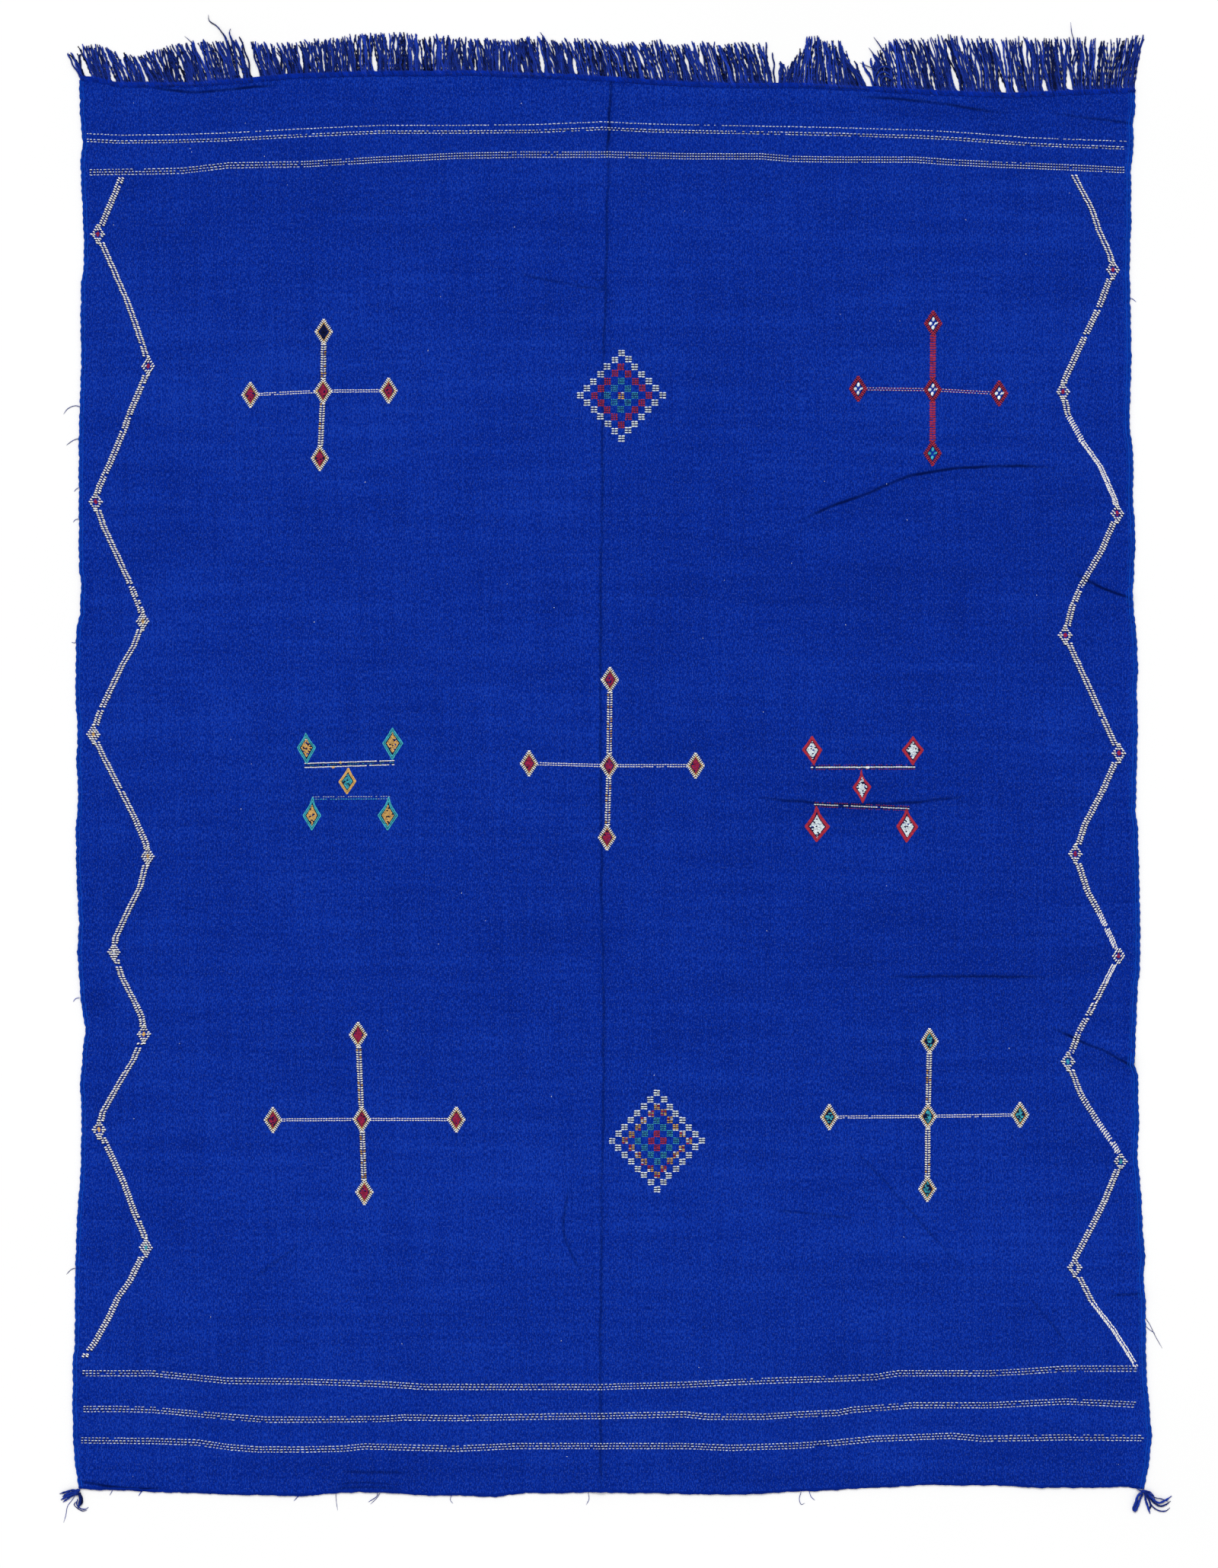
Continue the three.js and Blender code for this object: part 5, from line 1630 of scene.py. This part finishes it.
class RUG_OT_fringe(bpy.types.Operator):
    """Twine the heading and let the warp strings hang out of it"""
    bl_idname = "rug.fringe"
    bl_label = "Heading and fringe"

    heading_step = 6.0
    # The strip under the heading: half width, half height, and how far it is sunk in the cloth
    strip = (5.8, 1.45)
    strip_sunk = 1.2
    # Its twined stitches: place from a string's root, length and width, slant and height
    knot_place = (1.5, 3.6)
    knot = (13.0, 4.6)
    knot_slant = 62
    knot_high = 1.2

    def execute(self, context):
        settings = context.scene.rug_fringe
        dice = np.random.RandomState(SEED + 3)
        upper = (settings.pitch / MM, settings.thick / MM, FRINGE_RINGS, 1.0, 0.0, STRAY)
        under = [UNDER[key] for key in UNDER_KEYS]
        for name, layer, high, flat, replaced in (
                ("fringe_strings", upper, 1.0, 0.8, ["fringe"]), ("fringe_under", under, 0.5, 0.35, ())):
            paths, half, tones = fringe_strings(*layer, dice)
            paths[..., 2] *= high
            strings = tubes(name, paths, half, half * flat, tones, 6, STRING_PLY, STRING_TURN)
            finish_piece(strings, "fringe_wool", "fringe_yarn", replaced)
        across = np.arange(LEFT_LINE + 2, FRINGE_END[-1][0] - 1, self.heading_step)
        down = fringe_end(across) + HEADING_WIDE / 2
        half_wide, half_tall = self.strip
        high = np.maximum(cloth_top(across, down) - self.strip_sunk, half_tall)
        path = metres(across, down, high)[None]
        strip = tubes("heading_strip", path, half_wide * MM, half_tall * MM, (0.06,), 10)
        finish_piece(strip, "heading_wool", "ground_yarn")
        roots = fringe_roots(settings.pitch / MM)
        right, lower = self.knot_place
        rows = [
            (root + right + dice.normal(0, 0.4), fringe_end(root) + lower + dice.normal(0, 0.7),
             -self.knot_slant + dice.normal(0, 5), *self.knot, dice.normal(0.02, 0.16)) for root in roots]
        shape = stitch_shape()
        stitched("twined_heading", "fringe", rows, shape, self.knot_high, "heading_wool", "ground_yarn")
        return {"FINISHED"}


class RUG_OT_tassels(bpy.types.Operator):
    """Knot a tassel of listed strings at each corner of the hem"""
    bl_idname = "rug.tassels"
    bl_label = "Corner tassels"

    knot_high = 2.4

    def execute(self, context):
        dice = np.random.RandomState(SEED + 4)
        shape = stitch_shape()
        for node, rows in (("tassel_left", TASSEL_LEFT), ("tassel_right", TASSEL_RIGHT)):
            yarn = laid_yarn(f"{node}_strings", rows, TASSEL_RINGS, 8, dice)
            finish_piece(yarn, "fringe_wool", "fringe_yarn", [node])
            across, down, turns = TASSEL_KNOTS[node]
            loops = [(across + dx, down + dd, turn, long, wide, 0.0) for dx, dd, turn, long, wide in turns]
            stitched(f"{node}_knot", "fringe", loops, shape, self.knot_high, "fringe_wool", "fringe_yarn")
        return {"FINISHED"}


class RUG_OT_threads(bpy.types.Operator):
    """Lay the loose threads that stray from the edges"""
    bl_idname = "rug.threads"
    bl_label = "Loose threads"

    def execute(self, context):
        dice = np.random.RandomState(SEED + 5)
        threads = laid_yarn("loose_threads", THREADS, THREAD_RINGS, 6, dice)
        finish_piece(threads, "fringe_wool", "fringe_yarn")
        return {"FINISHED"}


class RUG_OT_stripes(bpy.types.Operator):
    """Lay in the two stripes by the fringe and the three by the hem"""
    bl_idname = "rug.stripes"
    bl_label = "Stripes"

    def execute(self, context):
        inlay = context.scene.rug_inlay
        ends = (("stripes_top", STRIPES_TOP, 11), ("stripes_bottom", STRIPES_BOTTOM, 12))
        for name, stripes, seed in ends:
            chart = Chart(SEED + seed)
            for line, offsets, ladder_from in stripes:
                chart_stripe(chart, line, offsets, ladder_from, inlay)
            chart.weave(name, inlay.proud / MM)
        return {"FINISHED"}


class RUG_OT_zigzags(bpy.types.Operator):
    """Lay in the zigzag and its small diamonds down each side"""
    bl_idname = "rug.zigzags"
    bl_label = "Zigzags"

    def execute(self, context):
        inlay = context.scene.rug_inlay
        sides = (
            ("zigzag_left", ZIGZAG_LEFT, KNOTS_LEFT, 21),
            ("zigzag_right", ZIGZAG_RIGHT, KNOTS_RIGHT, 22))
        for name, stops, knots, seed in sides:
            chart = Chart(SEED + seed)
            chart_zigzag(chart, stops, knots)
            for knot in knots:
                chart_knot(chart, knot)
            chart.weave(name, inlay.proud / MM)
        return {"FINISHED"}


class RUG_OT_crosses(bpy.types.Operator):
    """Lay in the five crosses with their rayed diamonds"""
    bl_idname = "rug.crosses"
    bl_label = "Crosses"

    def execute(self, context):
        inlay = context.scene.rug_inlay
        chart = Chart(SEED + 31)
        for cross in CROSSES:
            chart_cross(chart, cross)
        chart.weave("crosses", inlay.proud / MM)
        return {"FINISHED"}


class RUG_OT_figures(bpy.types.Operator):
    """Lay in the two branched figures with their long-pointed diamonds"""
    bl_idname = "rug.figures"
    bl_label = "Branched figures"

    def execute(self, context):
        inlay = context.scene.rug_inlay
        chart = Chart(SEED + 32)
        for point in LEFT_FIGURE + RIGHT_FIGURE:
            chart_point(chart, point)
        for start, end, rows in BARS:
            chart_bar(chart, start, end, rows)
        for across, down, yarn, turn, long, wide in BAR_KNOTS:
            chart.stitch(yarn, across, down, turn, long, wide, 0.2)
        chart.weave("figures", inlay.proud / MM)
        return {"FINISHED"}


class RUG_OT_lozenges(bpy.types.Operator):
    """Lay in the two chequered lozenges on the middle line"""
    bl_idname = "rug.lozenges"
    bl_label = "Chequered lozenges"

    def execute(self, context):
        inlay = context.scene.rug_inlay
        chart = Chart(SEED + 33)
        for lozenge in LOZENGES:
            chart_lozenge(chart, lozenge)
        chart.weave("lozenges", inlay.proud / MM)
        return {"FINISHED"}


class RUG_OT_tufts(bpy.types.Operator):
    """Catch small tufts of pale wool on the cloth"""
    bl_idname = "rug.tufts"
    bl_label = "Caught wool"

    tuft_high = 0.6

    def execute(self, context):
        dice = np.random.RandomState(SEED + 7)
        more = TUFT["more"]
        across = dice.uniform(LEFT_LINE + TUFT["in"], RIGHT_LINE - TUFT["in"], more)
        spots = [*TUFTS, *zip(across, dice.uniform(*TUFT["down"], more))]
        rows = [
            (across, down, dice.uniform(0, 180), dice.uniform(*TUFT["long"]), dice.uniform(*TUFT["wide"]),
             dice.normal(-0.1, 0.2)) for across, down in spots]
        stitched("caught_wool", "white", rows, stitch_shape(), self.tuft_high)
        return {"FINISHED"}


class RUG_OT_declare(bpy.types.Operator):
    """Look up the sheet of cloth, without saying what is woven or tied to it"""
    bl_idname = "rug.declare"
    bl_label = "Declare the cloth"

    flat_width = 1.91
    flat_length = 2.55

    def execute(self, context):
        cloth = bpy.data.objects["ground_cloth"]
        return {"FINISHED"}


OPERATORS = [
    RUG_OT_stage, RUG_OT_cloth, RUG_OT_selvedges, RUG_OT_hem, RUG_OT_fringe, RUG_OT_tassels,
    RUG_OT_threads, RUG_OT_stripes, RUG_OT_zigzags, RUG_OT_crosses, RUG_OT_figures, RUG_OT_lozenges,
    RUG_OT_tufts, RUG_OT_declare,
]


class RUG_PT_panel(bpy.types.Panel):
    """Lists the rug's sizes, colours and pieces"""
    bl_idname = "RUG_PT_panel"
    bl_label = "Rug"
    bl_space_type = "VIEW_3D"
    bl_region_type = "UI"
    bl_category = "Rug"

    def draw(self, context):
        for name, group in PROPERTY_GROUPS.items():
            box = self.layout.box()
            for setting in group.__annotations__:
                box.prop(getattr(context.scene, name), setting)
        for operator in OPERATORS:
            self.layout.operator(operator.bl_idname)


CLASSES = [*PROPERTY_GROUPS.values(), *OPERATORS, RUG_PT_panel]


def register():
    for item in CLASSES:
        bpy.utils.register_class(item)
    for name, group in PROPERTY_GROUPS.items():
        setattr(bpy.types.Scene, name, PointerProperty(type=group))


def unregister():
    for name in PROPERTY_GROUPS:
        delattr(bpy.types.Scene, name)
    for item in reversed(CLASSES):
        bpy.utils.unregister_class(item)


def main():
    register()
    bpy.ops.rug.stage()
    bpy.ops.rug.cloth()
    bpy.ops.rug.selvedges()
    bpy.ops.rug.hem()
    bpy.ops.rug.fringe()
    bpy.ops.rug.tassels()
    bpy.ops.rug.threads()
    bpy.ops.rug.stripes()
    bpy.ops.rug.zigzags()
    bpy.ops.rug.crosses()
    bpy.ops.rug.figures()
    bpy.ops.rug.lozenges()
    bpy.ops.rug.tufts()
    bpy.ops.rug.declare()


if __name__ == "__main__":
    main()
